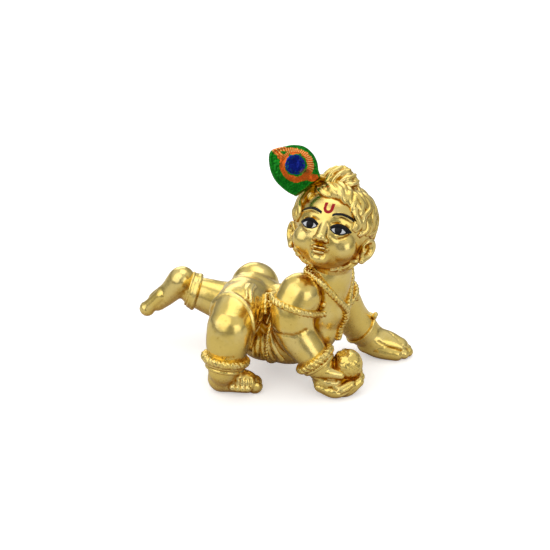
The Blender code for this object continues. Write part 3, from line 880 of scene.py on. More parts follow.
def make_chains(sizes, material):
    """Waist chain with its clasp and free end, necklace, and both armlets."""
    skin = bare_skin()
    chain = sizes.chain_thickness / UNIT
    form = bmesh.new()
    waist = girdle(skin, (0.6, -1.6, 17.4), (1.0, 0.08, -0.10), 13.2, WAIST_PLACES)
    rope(form, skin, waist, chain * 1.05, True, 2.2, 0.12, 0.30)
    waist = girdle(skin, (-0.9, -1.6, 17.6), (1.0, 0.08, -0.10), 13.4, WAIST_PLACES)
    loop(form, waist, chain * 0.5)
    for place, size in (
        ((-0.6, -9.6, 25.6), 0.9), ((0.4, -9.0, 26.2), 0.85), ((-1.4, -10.4, 25.0), 0.85),
        ((-0.2, -10.8, 24.4), 0.9), ((0.8, -10.2, 25.0), 0.8), ((-0.8, -11.6, 23.2), 0.8),
    ):
        spot, normal = skin.find_nearest(BODY @ Vector(place))[:2]
        ball(form, BODY, BODY_BACK @ spot + normal * 0.5, (size, size, size), detail=2)
    for end in (
        [(-1.4, -9.6, 25.4), (-1.0, -5.6, 27.4), (1.8, -1.0, 27.4), (4.0, 2.4, 27.6)],
        [(-0.4, -9.8, 25.0), (1.2, -8.0, 26.6), (3.2, -5.8, 27.6), (5.4, -4.0, 28.8)],
    ):
        rope(form, skin, draped(skin, end, 0.15), chain * 0.9, False, 2.0, 0.0, 0.28)
    add_ornament(form, sizes, "waist_chain", material)
    form = bmesh.new()
    for places in (
        [
            (9.6, -4.6, 36.4), (12.4, -5.6, 35.2), (15.8, -5.4, 33.0), (17.9, -4.0, 29.8),
            (19.6, 0.1, 24.1),
        ],
        [
            (17.4, 6.2, 35.0), (18.4, 4.8, 31.4), (18.4, 4.4, 28.0), (19.4, 2.0, 25.4),
            (19.6, 0.1, 24.1),
        ],
        [
            (9.6, -4.6, 36.4), (7.4, 0.6, 36.0), (10.0, 6.6, 35.8), (15.0, 7.2, 35.8),
            (17.4, 6.2, 35.0),
        ],
        [(19.6, 0.1, 24.1), (19.0, 0.6, 21.0), (17.8, 0.6, 17.4), (16.0, -0.2, 14.4)],
    ):
        rope(form, skin, draped(skin, places, 0.2), chain * 1.45, False, 2.4, 0.0, 0.3)
    spot = BODY_BACK @ skin.find_nearest(BODY @ Vector((19.6, 0.1, 24.1)))[0]
    ball(form, BODY, spot, (0.9, 0.9, 1.1))
    add_ornament(form, sizes, "necklace", material)
    form = bmesh.new()
    right = girdle(skin, (8.4, -9.8, 27.0), (0.18, 0.36, 1.0), 8.6, RING_PLACES, 0.2)
    rope(form, skin, right, chain * 1.4, True, 2.6, 0.05, 0.34)
    left = girdle(skin, (13.1, 8.6, 23.4), (0.20, 0.55, -1.0), 7.0, RING_PLACES, 0.2)
    rope(form, skin, left, chain * 1.15, True, 2.4, 0.05, 0.30)
    for knot in ((15.6, -6.0, 27.2), (18.6, 9.4, 23.2)):
        beads_round(form, skin, knot, 4, (0.3, 0.4, 0.5), 0.0, 0.72)
    add_ornament(form, sizes, "armlets", material)


# Rings: (centre, direction they face, reach of the search, share of the thickness).
BANGLES = (
    # The right wrist's two, then the left wrist's.
    ((15.8, -10.6, 12.0), (0.62, 0.10, -0.78), 6.2, 1.6),
    ((17.0, -10.4, 10.4), (0.62, 0.10, -0.78), 6.2, 0.8),
    ((16.9, 15.6, 9.9), (0.50, 0.50, -0.75), 6.6, 0.55),
)
ANKLETS = (
    # The planted foot's three, then the raised foot's band.
    ((-6.2, -23.3, 12.2), (0.04, 0.26, 1.0), 7.2, 1.5),
    ((-6.4, -23.4, 10.6), (0.04, 0.26, 1.0), 7.2, 0.9),
    ((-6.6, -23.5, 9.2), (0.04, 0.26, 1.0), 7.2, 0.75),
    ((-30.4, -0.5, 17.7), (-0.86, -0.42, 0.28), 7.0, 1.0),
    ((-31.0, -0.75, 17.9), (-0.86, -0.42, 0.28), 7.0, 0.8),
    ((-31.5, -1.0, 18.1), (-0.86, -0.42, 0.28), 7.0, 0.8),
    ((-32.3, -1.3, 18.5), (-0.86, -0.42, 0.28), 7.0, 0.55),
)
# Rings of a larger share than this have a rope wound on them.
ROPED_RING = 1.2


def add_rings(form, skin, band, rings, stands, winding):
    """Rings round the limbs. winding is the ropes' (lay, lift, share for the grains)."""
    lay, lift, grains = winding
    for (centre, facing, reach, share), stand in zip(rings, stands):
        around = girdle(skin, centre, facing, reach, RING_PLACES, stand)
        roped = share > ROPED_RING
        loop(form, around, band * share * (0.9 if roped else 1))
        if roped:
            rope(form, skin, around, band * share, True, lay, lift, grains * share)


def make_rings(sizes, material):
    """Bangles on both wrists and anklets on both legs."""
    skin = bare_skin()
    band = sizes.bangle_thickness / UNIT
    form = bmesh.new()
    add_rings(form, skin, band, BANGLES, (0.3, 0.3, 0.3), (2.6, 0.25, 0.26))
    beads_round(form, skin, (19.0, 16.8, 13.0), 5, (0.9, 0.6, 0.7), 0.5, 0.8)
    add_ornament(form, sizes, "bangles", material)
    form = bmesh.new()
    add_rings(form, skin, band, ANKLETS, (0.4, 0.4, 0.4, 0.3, 0.3, 0.3, 0.3), (2.4, 0.2, 0.3))
    add_ornament(form, sizes, "anklets", material)


# ---------------------------------------------------------------- hands, feet and the sweet

def nail(form, knuckle, tip, up, size):
    """A nail on the upper side of a finger or toe."""
    knuckle, tip = Vector(knuckle), Vector(tip)
    along = (tip - knuckle).normalized()
    up = Vector(up)
    up = (up - along * up.dot(along)).normalized()
    ball(
        form,
        BODY,
        tip + along * size * 0.35 + up * size * 0.72,
        (size * 0.62, size * 0.8, size * 0.34),
        facing_turn(up + along * 0.35, along),
        detail=2,
    )


# Each finger through three places, with its share of the thickness. The thumb is last.
RIGHT_FINGERS = (
    ((18.4, -11.6, 4.6, 0.64), (22.8, -10.6, 3.3, 0.62), (25.8, -7.8, 4.9, 0.50)),
    ((20.2, -9.4, 3.0, 0.64), (24.6, -7.8, 2.9, 0.60), (27.0, -5.0, 5.0, 0.48)),
    ((20.2, -6.6, 2.9, 0.62), (24.6, -4.6, 2.9, 0.56), (26.2, -2.8, 5.2, 0.46)),
    ((19.6, -4.6, 3.2, 0.58), (22.9, -2.2, 3.2, 0.52), (24.6, -0.8, 5.6, 0.44)),
    ((16.6, -12.4, 9.0, 0.58), (19.8, -11.6, 9.2, 0.52), (23.4, -9.4, 8.2, 0.40)),
)
LEFT_FINGERS = (
    ((23.4, 18.8, 4.6, 0.62), (26.8, 19.4, 3.5, 0.56), (29.4, 20.1, 2.6, 0.46)),
    ((23.2, 21.0, 4.9, 0.62), (27.0, 21.6, 3.7, 0.56), (29.8, 22.0, 2.6, 0.46)),
    ((22.6, 22.8, 4.4, 0.60), (26.0, 23.6, 3.3, 0.54), (28.6, 23.8, 2.4, 0.44)),
    ((21.4, 24.0, 3.7, 0.56), (24.0, 25.2, 2.8, 0.50), (26.4, 25.4, 2.2, 0.42)),
    ((18.4, 16.4, 4.8, 0.80), (23.0, 17.0, 3.6, 0.76), (27.6, 18.6, 2.7, 0.60)),
)


def make_hands(sizes, material):
    """The right hand cupped under the sweet, and the left hand flat on the ground."""
    thick = sizes.finger_thickness / UNIT
    tree = casting_tree()
    for name, palm, fingers, up, lines in (
        ("right_hand", right_palm, RIGHT_FINGERS, None, RIGHT_PALM_LINES),
        ("left_hand", left_palm, LEFT_FINGERS, (0.2, 0.0, 1.0), LEFT_PALM_LINES),
    ):
        form = grown_from((palm,), 0.45 * UNIT, 8)
        for stations in fingers:
            limb(form, BODY, [(*place[:3], place[3] * thick) for place in stations])
            if up:
                nail(form, stations[1][:3], stations[2][:3], up, stations[2][3] * thick * 0.8)
        mesh = fused(form, sizes.carving_grain, 3, name)
        hand_worked(mesh, 0.06, 3.0, 1.4)
        chased(mesh, BODY, lines)
        add_piece(mesh, name, material, tree, sizes.shading_rays)


def between(first, second, lift):
    """The line that runs between two neighbouring fingers."""
    return tuple(
        tuple((Vector(a[:3]) + Vector(b[:3])) / 2 + Vector(lift)) for a, b in zip(first, second)
    )


# Grooves between the fingers and over the palms: (places, width, depth).
RIGHT_PALM_LINES = (
    (between(RIGHT_FINGERS[0], RIGHT_FINGERS[1], (0.8, -1.0, 0.4)), 0.55, -0.35),
    (((16.4, -14.0, 5.4), (19.6, -14.4, 5.6), (22.6, -13.4, 5.0)), 0.5, -0.25),
    (((15.8, -13.8, 3.8), (18.6, -14.2, 3.2), (21.6, -13.2, 2.2)), 0.45, -0.22),
    (((17.2, -13.8, 7.6), (20.6, -13.0, 7.4), (23.4, -11.2, 6.8)), 0.55, -0.35),
)
LEFT_PALM_LINES = tuple(
    (between(a, b, (0, 0, 1.2)), 0.4, -0.20) for a, b in zip(LEFT_FINGERS[:3], LEFT_FINGERS[1:4])
) + (
    (between(LEFT_FINGERS[0], LEFT_FINGERS[4], (0.6, -0.4, 1.6)), 0.45, -0.25),
)

# Each toe: how far it reaches, its place along the row, its share of the thickness, its rise, and
# how far back its root lies.
RIGHT_TOES = (
    (0.3, 4.1, 1.50, -2.2, 0.7), (1.8, 1.9, 0.74, -0.2, 1.6), (1.8, 0.5, 0.72, -0.2, 1.6),
    (1.7, -0.9, 0.70, -0.2, 1.6), (1.5, -2.3, 0.66, -0.2, 1.6),
)
LEFT_TOES = (
    (2.6, 1.6, 1.50, 0.0, 4.2), (2.3, 0.2, 1.15, 0.1, 1.6), (1.6, -1.0, 1.05, 0.1, 1.6),
    (0.8, -2.0, 1.00, 0.0, 1.6), (0.0, -2.8, 0.95, 0.0, 1.6),
)
# Toes of a smaller share than this have no nail and a shallow groove.
LARGE_TOE = 0.9


def toes(form, root, forward, across, up, thick, sizes):
    """Five toes in a row. across points to the side of the big toe, which comes first."""
    root, forward, across, up = Vector(root), Vector(forward), Vector(across), Vector(up)
    for reach, aside, share, rise, back in sizes:
        knuckle = root + across * aside + up * rise
        tip = knuckle + forward * reach
        radius = share * thick * 0.5
        heel = (*(knuckle - forward * back), radius)
        ball_of_toe = (*knuckle.lerp(tip, 0.45), radius * 0.97)
        limb(form, BODY, [heel, ball_of_toe, (*tip, radius * 1.08)], steps=3)
        if share > LARGE_TOE:
            nail(form, knuckle, tip, up, radius * 0.75)


def make_feet(sizes, material):
    """The planted right foot and the raised left foot."""
    thick = sizes.toe_thickness / UNIT
    tree = casting_tree()
    for name, sole, root, forward, across, up, toe_sizes in (
        (
            "right_foot",
            right_sole,
            (-1.9, -22.3, 5.0),
            (0.42, -0.62, -0.66),
            (0.82, 0.57, -0.03),
            (0.37, -0.55, 0.75),
            RIGHT_TOES,
        ),
        (
            "left_foot",
            left_sole,
            (-42.5, -5.6, 13.4),
            (-0.66, -0.23, -0.71),
            (0.326, -0.938, 0.0),
            (-0.67, -0.23, 0.70),
            LEFT_TOES,
        ),
    ):
        form = grown_from((sole,), 0.45 * UNIT, 8)
        toes(form, root, forward, across, up, thick, toe_sizes)
        mesh = fused(form, sizes.carving_grain, 2, name)
        hand_worked(mesh, 0.05, 3.0, 5.2)
        lines = []
        for first, second in zip(toe_sizes, toe_sizes[1:]):
            middle = second[1] + (first[1] - second[1]) * second[2] / (first[2] + second[2])
            reach = max(min(first[0], second[0]), 0.6) + 0.8
            start = Vector(root) + Vector(across) * middle + Vector(up) * second[2] * thick * 0.4
            groove = [tuple(start + Vector(forward) * far) for far in (-0.6, reach * 0.5, reach)]
            lines.append((groove, 0.5, -0.42 if second[2] > LARGE_TOE else -0.22))
        chased(mesh, BODY, lines)
        add_piece(mesh, name, material, tree, sizes.shading_rays)


# The sweet's middle, over the cupped right hand.
SWEET_CENTRE = (23.2, -4.9, 9.5)


def make_sweet_ball(sizes, material):
    """The round sweet, with the crumbly facets of a rolled ball."""
    radius = sizes.sweet_diameter / UNIT / 2
    form = bmesh.new()
    centre = Vector(SWEET_CENTRE)
    bmesh.ops.create_icosphere(form, subdivisions=6, radius=1.0)
    for vert in form.verts:
        out = vert.co.normalized()
        facets = noise.voronoi(out * 2.3, distance_metric="DISTANCE", exponent=2.5)[0]
        rough = min(max(0.35 - out.x * 0.8 + out.y * 0.45, 0.12), 1.0)
        lump = (facets[1] - facets[0]) * 0.30 + noise.fractal(out * 4.0, 0.8, 2.0, 3) * 0.30 * rough
        vert.co = BODY @ (centre + out * (radius - 0.08 + min(lump, 0.38)))
    mesh = modified(mesh_of(form, "sweet"), ("SMOOTH", {"factor": 0.5, "iterations": 3}))
    add_piece(mesh, "sweet", material, casting_tree(), sizes.shading_rays)


# ---------------------------------------------------------------- head and hair

# An eye's upper lid, lower lid and brow on the head's right: (x, y, z, radius).
EYE_FOLDS = (
    (
        (1.7, 9.2, -1.5, 0.3), (2.7, 9.6, -0.4, 0.42), (4.2, 9.6, 0.1, 0.46),
        (5.7, 8.9, -0.3, 0.42), (6.9, 7.7, -1.2, 0.3),
    ),
    (
        (2.0, 9.1, -1.8, 0.24), (3.2, 9.2, -2.7, 0.32), (4.4, 9.1, -2.9, 0.34),
        (5.8, 8.4, -2.4, 0.28),
    ),
    ((1.8, 9.6, 2.2, 0.5), (4.2, 9.3, 3.0, 0.62), (6.9, 7.7, 2.2, 0.45)),
)
# Lines over the face's middle: the mouth, the lip's hollow and the chin's: (places, width, depth).
MIDDLE_LINES = (
    (
        (
            (-3.1, 8.9, -7.4), (-1.3, 9.8, -7.6), (0, 10.1, -7.68), (1.3, 9.8, -7.6),
            (3.1, 8.9, -7.4),
        ),
        0.4, -0.42,
    ),
    (((0, 10.2, -5.7), (0, 10.0, -6.5)), 0.5, -0.16),
    (((-1.6, 8.9, -9.3), (0, 9.4, -9.35), (1.6, 8.9, -9.3)), 0.8, -0.22),
)
# Lines on the head's right: nostril, lid, nose, mouth's corner, cheek and ear.
SIDE_LINES = (
    (((0.62, 11.2, -5.5),), 0.5, -0.5),
    (((1.9, 9.6, 0.3), (4.2, 9.8, 0.95), (6.7, 8.2, 0.2)), 0.42, -0.22),
    (((2.2, 10.1, -4.4), (2.3, 9.7, -5.4)), 0.45, -0.2),
    (((2.9, 9.0, -7.5),), 0.5, -0.3),
    (((2.4, 9.0, -3.4), (4.4, 9.0, -3.9), (6.4, 7.8, -3.2)), 0.6, -0.12),
    (((10.9, 0.2, -3.2), (11.6, -0.6, -3.0), (11.8, -0.9, -4.4), (11.2, -0.2, -5.4)), 0.7, -0.75),
)
EAR_RIM = (
    (10.2, 0.5, -3.2, 0.55), (11.0, 0.0, -1.6, 0.7), (11.9, -1.2, -1.4, 0.75),
    (12.3, -2.1, -3.0, 0.8), (11.9, -2.0, -5.2, 0.75), (11.0, -1.0, -6.6, 0.8),
    (10.4, -0.3, -7.4, 0.95),
)
EAR_FOLD = ((11.2, -0.6, -2.4, 0.4), (11.6, -1.3, -3.6, 0.45), (11.3, -1.1, -5.2, 0.45))


def to_side(side, places):
    """Places of the head's right, put on the given side."""
    return [(x * side, *rest) for x, *rest in places]


def make_head_piece(sizes, painted):
    """The face on the usual proportions of an infant, the ears, and the top of the neck."""
    form = grown_from((head_forms, neck_top), 0.42 * UNIT, 10)
    # Nose, and on each side a nostril, an eyeball, its lids and the brow.
    limb(form, HEAD, [(0, 8.7, 1.4, 1.25), (0, 9.4, -1.6, 1.4), (0, 10.1, -3.6, 1.5)], sides=16)
    ball(form, HEAD, (0, 10.7, -4.3), (1.6, 1.3, 1.3))
    for side in (-1, 1):
        ball(form, HEAD, (1.4 * side, 9.9, -4.8), (1.0, 1.0, 0.8))
        ball(form, HEAD, (4.2 * side, 7.9, -1.4), (2.5, 1.9, 1.45))
        for stations in EYE_FOLDS:
            limb(form, HEAD, to_side(side, stations), sides=10)
    # Lips, then the ears.
    for side in (-1, 1):
        ball(form, HEAD, (0.8 * side, 9.75, -7.05), (1.15, 0.75, 0.5))
        ball(form, HEAD, (2.0 * side, 9.1, -7.3), (1.0, 0.55, 0.36))
    ball(form, HEAD, (0, 9.4, -8.2), (1.9, 0.8, 0.62))
    for side in (-1, 1):
        ear(form, side)
    mesh = fused(form, sizes.carving_grain, 4, "head")
    lines = list(MIDDLE_LINES)
    for side in (-1, 1):
        lines += [(to_side(side, places), width, depth) for places, width, depth in SIDE_LINES]
    chased(mesh, HEAD, lines)
    hand_worked(mesh, 0.05, 3.5, 9.4)
    add_piece(mesh, "head", painted, casting_tree(), sizes.shading_rays)


def ear(form, side):
    """Folded rim, inner fold, lobe and front flap of one ear."""
    ball(form, HEAD, (10.2 * side, -1.2, -4.6), (1.3, 2.1, 2.9))
    limb(form, HEAD, to_side(side, EAR_RIM), sides=12)
    limb(form, HEAD, to_side(side, EAR_FOLD), sides=10)
    ball(form, HEAD, (10.6 * side, 0.4, -4.8), (0.7, 0.6, 0.8))


# The middle that the hair is laid round, in the head's axes.
HAIR_HEART = (0, -1.4, 1.2)


def on_scalp(turn, rise, lift):
    """A place on the hair, turned from the face to its right and raised, in degrees."""
    turn, rise = math.radians(turn), math.radians(rise)
    return Vector(
        (
            (10.9 + lift) * math.cos(rise) * math.sin(turn),
            HAIR_HEART[1] + (10.7 + lift) * math.cos(rise) * math.cos(turn),
            HAIR_HEART[2] + (10.6 + lift) * math.sin(rise),
        )
    )


def wound_strands(form, centres, radii, strands, turns, phase, heart):
    """Strands that wind round a middle line in the head's millimetres."""
    count = len(centres)
    for strand in range(strands):
        stations = []
        for i, (centre, radius) in enumerate(zip(centres, radii)):
            along = (centres[min(i + 1, count - 1)] - centres[max(i - 1, 0)]).normalized()
            out = centre - heart
            out = (out - along * out.dot(along)).normalized()
            side = along.cross(out)
            angle = phase + 2 * math.pi * (strand / strands + turns * i / count)
            place = centre + (out * math.cos(angle) * 0.6 + side * math.sin(angle)) * radius * 0.62
            stations.append((*place, radius * (0.60 if strands > 2 else 0.66)))
        limb(form, HEAD, stations, sides=8, steps=1)


def lock(form, places, thick, strands, turns, phase):
    """One lock laid along the scalp through (turn, rise, lift, share of the thickness)."""
    path = curve_through(places, 6)
    centres = [on_scalp(*point[:3]) for point in path]
    radii = [point[3] * thick / 2 for point in path]
    wound_strands(form, centres, radii, strands, turns, phase, Vector(HAIR_HEART))


# Locks by the forehead: (places, strands, turns, phase). The last one meets the plume.
FRONT_LOCKS = (
    (
        ((40, 52, 0.2, 0.9), (14, 49, 1.0, 1.35), (-10, 42, 1.2, 1.3), (-24, 31, 0.8, 0.7)), 4, 0.8,
        0.0,
    ),
    (((54, 46, 0.0, 0.8), (30, 42, 0.6, 1.05), (8, 38, 0.8, 0.9), (-5, 35, 0.6, 0.5)), 3, 0.7, 1.0),
    (
        ((30, 60, 0.4, 0.9), (8, 58, 1.2, 1.2), (-16, 52, 1.3, 1.2), (-32, 42, 0.9, 0.7)), 3, 0.7,
        2.0,
    ),
    (
        ((40, 54, 0.0, 0.8), (52, 38, 0.4, 1.05), (60, 22, 0.3, 0.9), (62, 10, 0.0, 0.5)), 3, 0.9,
        0.4,
    ),
    (
        ((48, 50, 0.0, 0.8), (64, 36, 0.4, 1.05), (68, 18, 0.3, 0.9), (72, 2, 0.0, 0.5)), 3, -0.9,
        0.9,
    ),
    (
        ((-20, 52, 0.4, 1.1), (-28, 42, 0.9, 1.2), (-34, 30, 0.8, 1.0), (-37, 18, 0.3, 0.5)), 3,
        0.8, 0.8,
    ),
    (
        ((-30, 56, 0.4, 0.9), (-40, 44, 0.9, 1.1), (-44, 30, 0.8, 1.0), (-50, 16, 0.3, 0.6)), 3,
        -0.8, 1.8,
    ),
    (
        ((62, 26, 1.2, 0.8), (60, 40, 2.4, 1.25), (54, 52, 2.8, 1.3), (40, 62, 2.2, 1.0)), 3, 0.8,
        1.2,
    ),
)


# The wavy locks: how many, where the first one starts, the arc that they cover and their rise at
# the crown, in degrees.
HAIR_LOCKS = 21
HAIR_START = -46
HAIR_ARC = 260
CROWN_RISE = 62


def make_hair_piece(sizes, material):
    """Wavy locks round the head, the fringe, and the curls behind the jaw."""
    thick = sizes.lock_thickness / UNIT
    form = bmesh.new()
    ball(form, HEAD, (0.0, -2.3, 1.7), (11.1, 10.0, 10.5), detail=4)
    # Wavy locks that fall from the crown, from one temple round the back to the other.
    for k in range(HAIR_LOCKS):
        start = HAIR_START - k * HAIR_ARC / (HAIR_LOCKS - 1)
        from_face = abs((start + 180) % 360 - 180)
        end = 6 - 50 * min(from_face / 130, 1) ** 1.3
        if 66 < from_face < 112:
            # Over the ears the locks end higher.
            end = max(end, -7)
        sway = 4.0 + 1.2 * math.sin(2.4 * k)
        drop = CROWN_RISE - end
        places = [
            (start * 0.97, CROWN_RISE, 0.3, 0.8),
            (start + sway, CROWN_RISE - drop * 0.2, 0.8, 1.05),
            (start - sway * 0.8, CROWN_RISE - drop * 0.42, 0.7, 1.1),
            (start + sway * 0.8, CROWN_RISE - drop * 0.64, 0.45, 1.05),
            (start - sway * 0.6, CROWN_RISE - drop * 0.84, 0.25, 1.0),
            (start + sway * 0.4, end, 0.0, 0.6),
        ]
        lock(form, places, thick, 3, 0.9 if k % 2 else -0.9, k * 1.3)
    # Locks drawn back from the fringe to the top-knot.
    for k in range(15):
        turn = -50 + 22 * k
        if 20 < turn < 62:
            # The fringe takes this place.
            continue
        places = [
            (turn, 78, 0.3, 0.8), (turn + 5, 68, 0.9, 1.05), (turn - 3, 56, 0.9, 0.95),
            (turn + 3, 44, 0.5, 0.6),
        ]
        lock(form, places, thick * 0.95, 3, 0.5, k * 0.9)
    for places, strands, turns, phase in FRONT_LOCKS:
        lock(form, places, thick, strands, turns, phase)
    # The curls behind the jaw, under each ear.
    for side in (-1, 1):
        for reach, low, turn in (
            (8.4, -8.4, 0.7), (7.2, -9.8, -0.8), (5.6, -10.8, 0.9), (3.6, -11.4, -0.6)
        ):
            places = (
                ((reach + 1.4) * side, -3.0, -5.0),
                ((reach + 1.1) * side, -1.6, low + 2.6),
                ((reach + 0.3) * side, -0.4, low + 0.6),
                ((reach - 0.9) * side, 0.1, low),
            )
            centres = line_through(places, 4)
            last = len(centres) - 1
            radii = [1.05 + 0.25 * math.sin(math.pi * i / last) for i in range(last + 1)]
            wound_strands(form, centres, radii, 3, turn, reach, Vector((0, -1.0, -6.0)))
    mesh = fused(form, sizes.carving_grain, 2, "hair")
    add_piece(mesh, "hair", material, casting_tree(), sizes.shading_rays)


# The knot's upswept strands: (foot, end, thickness).
KNOT_STRANDS = (
    ((4.8, 3.2, 10.8), (3.6, 2.2, 15.6), 1.0), ((4.0, 4.2, 11.2), (2.4, 2.4, 16.3), 1.0),
    ((2.8, 5.0, 11.4), (1.2, 2.5, 16.8), 1.0), ((1.4, 5.4, 11.6), (-0.2, 2.4, 16.9), 1.0),
    ((0.0, 5.4, 11.6), (-1.6, 2.3, 16.3), 1.0), ((-1.2, 5.1, 11.2), (-3.0, 2.1, 15.5), 0.95),
    ((-2.2, 4.6, 10.4), (-4.1, 1.9, 14.3), 0.95), ((-3.0, 3.6, 9.6), (-4.8, 1.5, 12.8), 0.9),
    ((4.6, -0.6, 11.2), (3.2, 0.8, 15.2), 0.95), ((3.4, -1.8, 11.2), (1.9, 0.4, 15.8), 0.95),
    ((2.0, -2.5, 11.2), (0.6, 0.1, 15.9), 0.95), ((0.4, -2.8, 11.2), (-0.7, -0.2, 15.7), 0.95),
    ((-1.2, -2.6, 11.0), (-2.0, -0.3, 15.0), 0.95), ((-2.6, -1.8, 10.8), (-3.1, -0.2, 14.1), 0.9),
    ((-3.8, -0.4, 10.2), (-4.2, 0.3, 12.9), 0.9), ((1.6, 2.6, 12.4), (0.4, 1.4, 16.6), 0.95),
    ((-1.0, 2.2, 12.0), (-1.9, 1.0, 15.9), 0.95),
)


def around_knot(angle, wide, deep, height):
    """A place on an oval round the knot."""
    return Vector((wide * math.sin(angle) + 0.3, 1.4 + deep * math.cos(angle), height))


def make_top_knot_piece(sizes, material):
    """The knot on the crown: upswept strands with round ends over rings of short curls."""
    form = bmesh.new()
    heart = Vector((0.2, 1.4, 9.0))
    ball(form, HEAD, (0.2, 1.4, 11.2), (4.2, 3.9, 4.0))
    for k, (start, end, thick) in enumerate(KNOT_STRANDS):
        start, end = Vector(start), Vector(end)
        middle = start.lerp(end, 0.5) + Vector((start.x, start.y - 1.4, 0)) * 0.14
        centres = line_through((start, middle, end), 5)
        radii = [thick * (0.8 + 0.35 * math.sin(math.pi * i / 10)) for i in range(11)]
        wound_strands(form, centres, radii, 2, 0.5, k * 0.8, heart)
    for ring, (radius, low, high, count) in enumerate(((5.0, 9.0, 11.4, 15), (5.4, 8.2, 9.8, 17))):
        for k in range(count):
            angle = 2 * math.pi * (k + 0.5 * ring) / count
            lean = 0.30 * (-1) ** ring
            foot = around_knot(angle, radius, radius - 0.4, low)
            head = around_knot(angle + lean, radius * 0.86, (radius - 0.6) * 0.86, high)
            bulge = (foot + head) / 2 + (foot - heart).normalized() * 0.5
            centres = line_through((foot, bulge, head), 4)
            wound_strands(form, centres, [0.75] * len(centres), 2, 0.5, k, heart)
    mesh = fused(form, sizes.carving_grain, 2, "top knot")
    add_piece(mesh, "top_knot", material, casting_tree(), sizes.shading_rays)


# ---------------------------------------------------------------- the plume

PLUME_PLACE = (4.5, -3.3, 65.6)
PLUME_RINGS = 62
PLUME_OUTLINE = (
    (0.6, -7.9), (-2.0, -6.5), (-4.7, -4.1), (-6.2, -1.6), (-6.9, 1.2), (-6.9, 3.6),
    (-6.3, 4.8), (-5.2, 5.4), (-2.6, 6.0), (-0.1, 6.4), (2.9, 5.9), (5.2, 4.0),
    (6.4, 1.8), (6.8, -0.6), (7.2, -1.8), (7.0, -2.9), (4.9, -4.7), (2.5, -6.6),
)
EYE_CENTRE = Vector((0.3, 0.9))
# Beyond this line the plume sinks into the hair.
HAIR_LINE = Vector((1.1, -6.9))
INTO_HAIR = Vector((0.608, -0.794))


def plume_relief(spot, share):
    """Height of the plume's front: a dome, a raised rim, barbs round the eye and the eye itself."""
    out = spot - EYE_CENTRE
    far, angle = out.length, math.atan2(out.y, out.x)
    height = 0.55 * (1 - share**2.2)
    height += 0.14 * math.exp(-(((share - 0.93) / 0.05) ** 2))
    barbs = max(0.0, 1 - abs(far - 4.2) / 1.5)
    height += barbs * (
        0.14 * math.sin(angle * 46 + far * 1.2) * min(max(0.5 * out.x + out.y, 0) / 2, 1) + 0.05
    )
    dent = 0.35 * sum(math.exp(-(((angle - turn) / 0.3) ** 2)) for turn in (0.55, -0.6))
    eye = 2.8 - dent - far
    height += 0.42 * min(max(eye / 0.7 + 0.5, 0), 1) ** 0.8
    height -= 0.12 * math.exp(-(((eye + 0.35) / 0.22) ** 2))
    place = Vector((spot.x, spot.y, 3.3))
    height += 0.12 * noise.noise(place * 0.55) + 0.05 * noise.noise(place * 1.7)
    return height


def make_plume_piece(sizes, material):
    """A peacock's plume: a domed plate with a rim, barbs and a raised eye, ribbed on its back."""
    axes = plume_axes()
    half = sizes.plume_thickness / UNIT / 2
    outline = [point.xy for point in curve_through([(x, y, 0, 0) for x, y in PLUME_OUTLINE], 16)]
    outline = outline[:-1] + [outline[-1].lerp(outline[0], k / 16) for k in range(16)]
    form = bmesh.new()
    sides = []
    for front in (True, False):
        rings = []
        for k in range(1, PLUME_RINGS + 1):
            share = k / PLUME_RINGS
            ring = []
            for point in outline:
                spot = EYE_CENTRE + (point - EYE_CENTRE) * share
                rolled = max(share - 0.94, 0) ** 2
                if front:
                    height = half * 0.55 * (1 - rolled * 200) + plume_relief(spot, share) * 0.75
                else:
                    rib = 0.35 * math.exp(-((spot.x - 0.35 * spot.y - 0.3) ** 2) * 2.2)
                    uneven = 0.05 * noise.noise(Vector((spot.x, spot.y, 9.0)))
                    height = -half * 0.7 - rib * (1 - share) - 0.3 * (1 - share**3) + uneven
                    height += rolled * 110
                height -= 2.0 * max((spot - HAIR_LINE).dot(INTO_HAIR), 0)
                ring.append(form.verts.new(axes @ Vector((spot.x, spot.y, height))))
            rings.append(ring)
        height = -half * 0.7 - 0.65
        if front:
            height = plume_relief(EYE_CENTRE, 0) * 0.75 + half * 0.55
        centre = form.verts.new(axes @ Vector((*EYE_CENTRE, height)))
        count = len(outline)
        for k in range(count):
            form.faces.new((centre, rings[0][k], rings[0][(k + 1) % count]))
        for inner, outer in zip(rings, rings[1:]):
            bridge(form, inner, outer)
        sides.append(rings[-1])
    bridge(form, sides[0], sides[1])
    bmesh.ops.recalc_face_normals(form, faces=form.faces)
    add_piece(mesh_of(form, "plume"), "plume", material)


# ---------------------------------------------------------------- materials

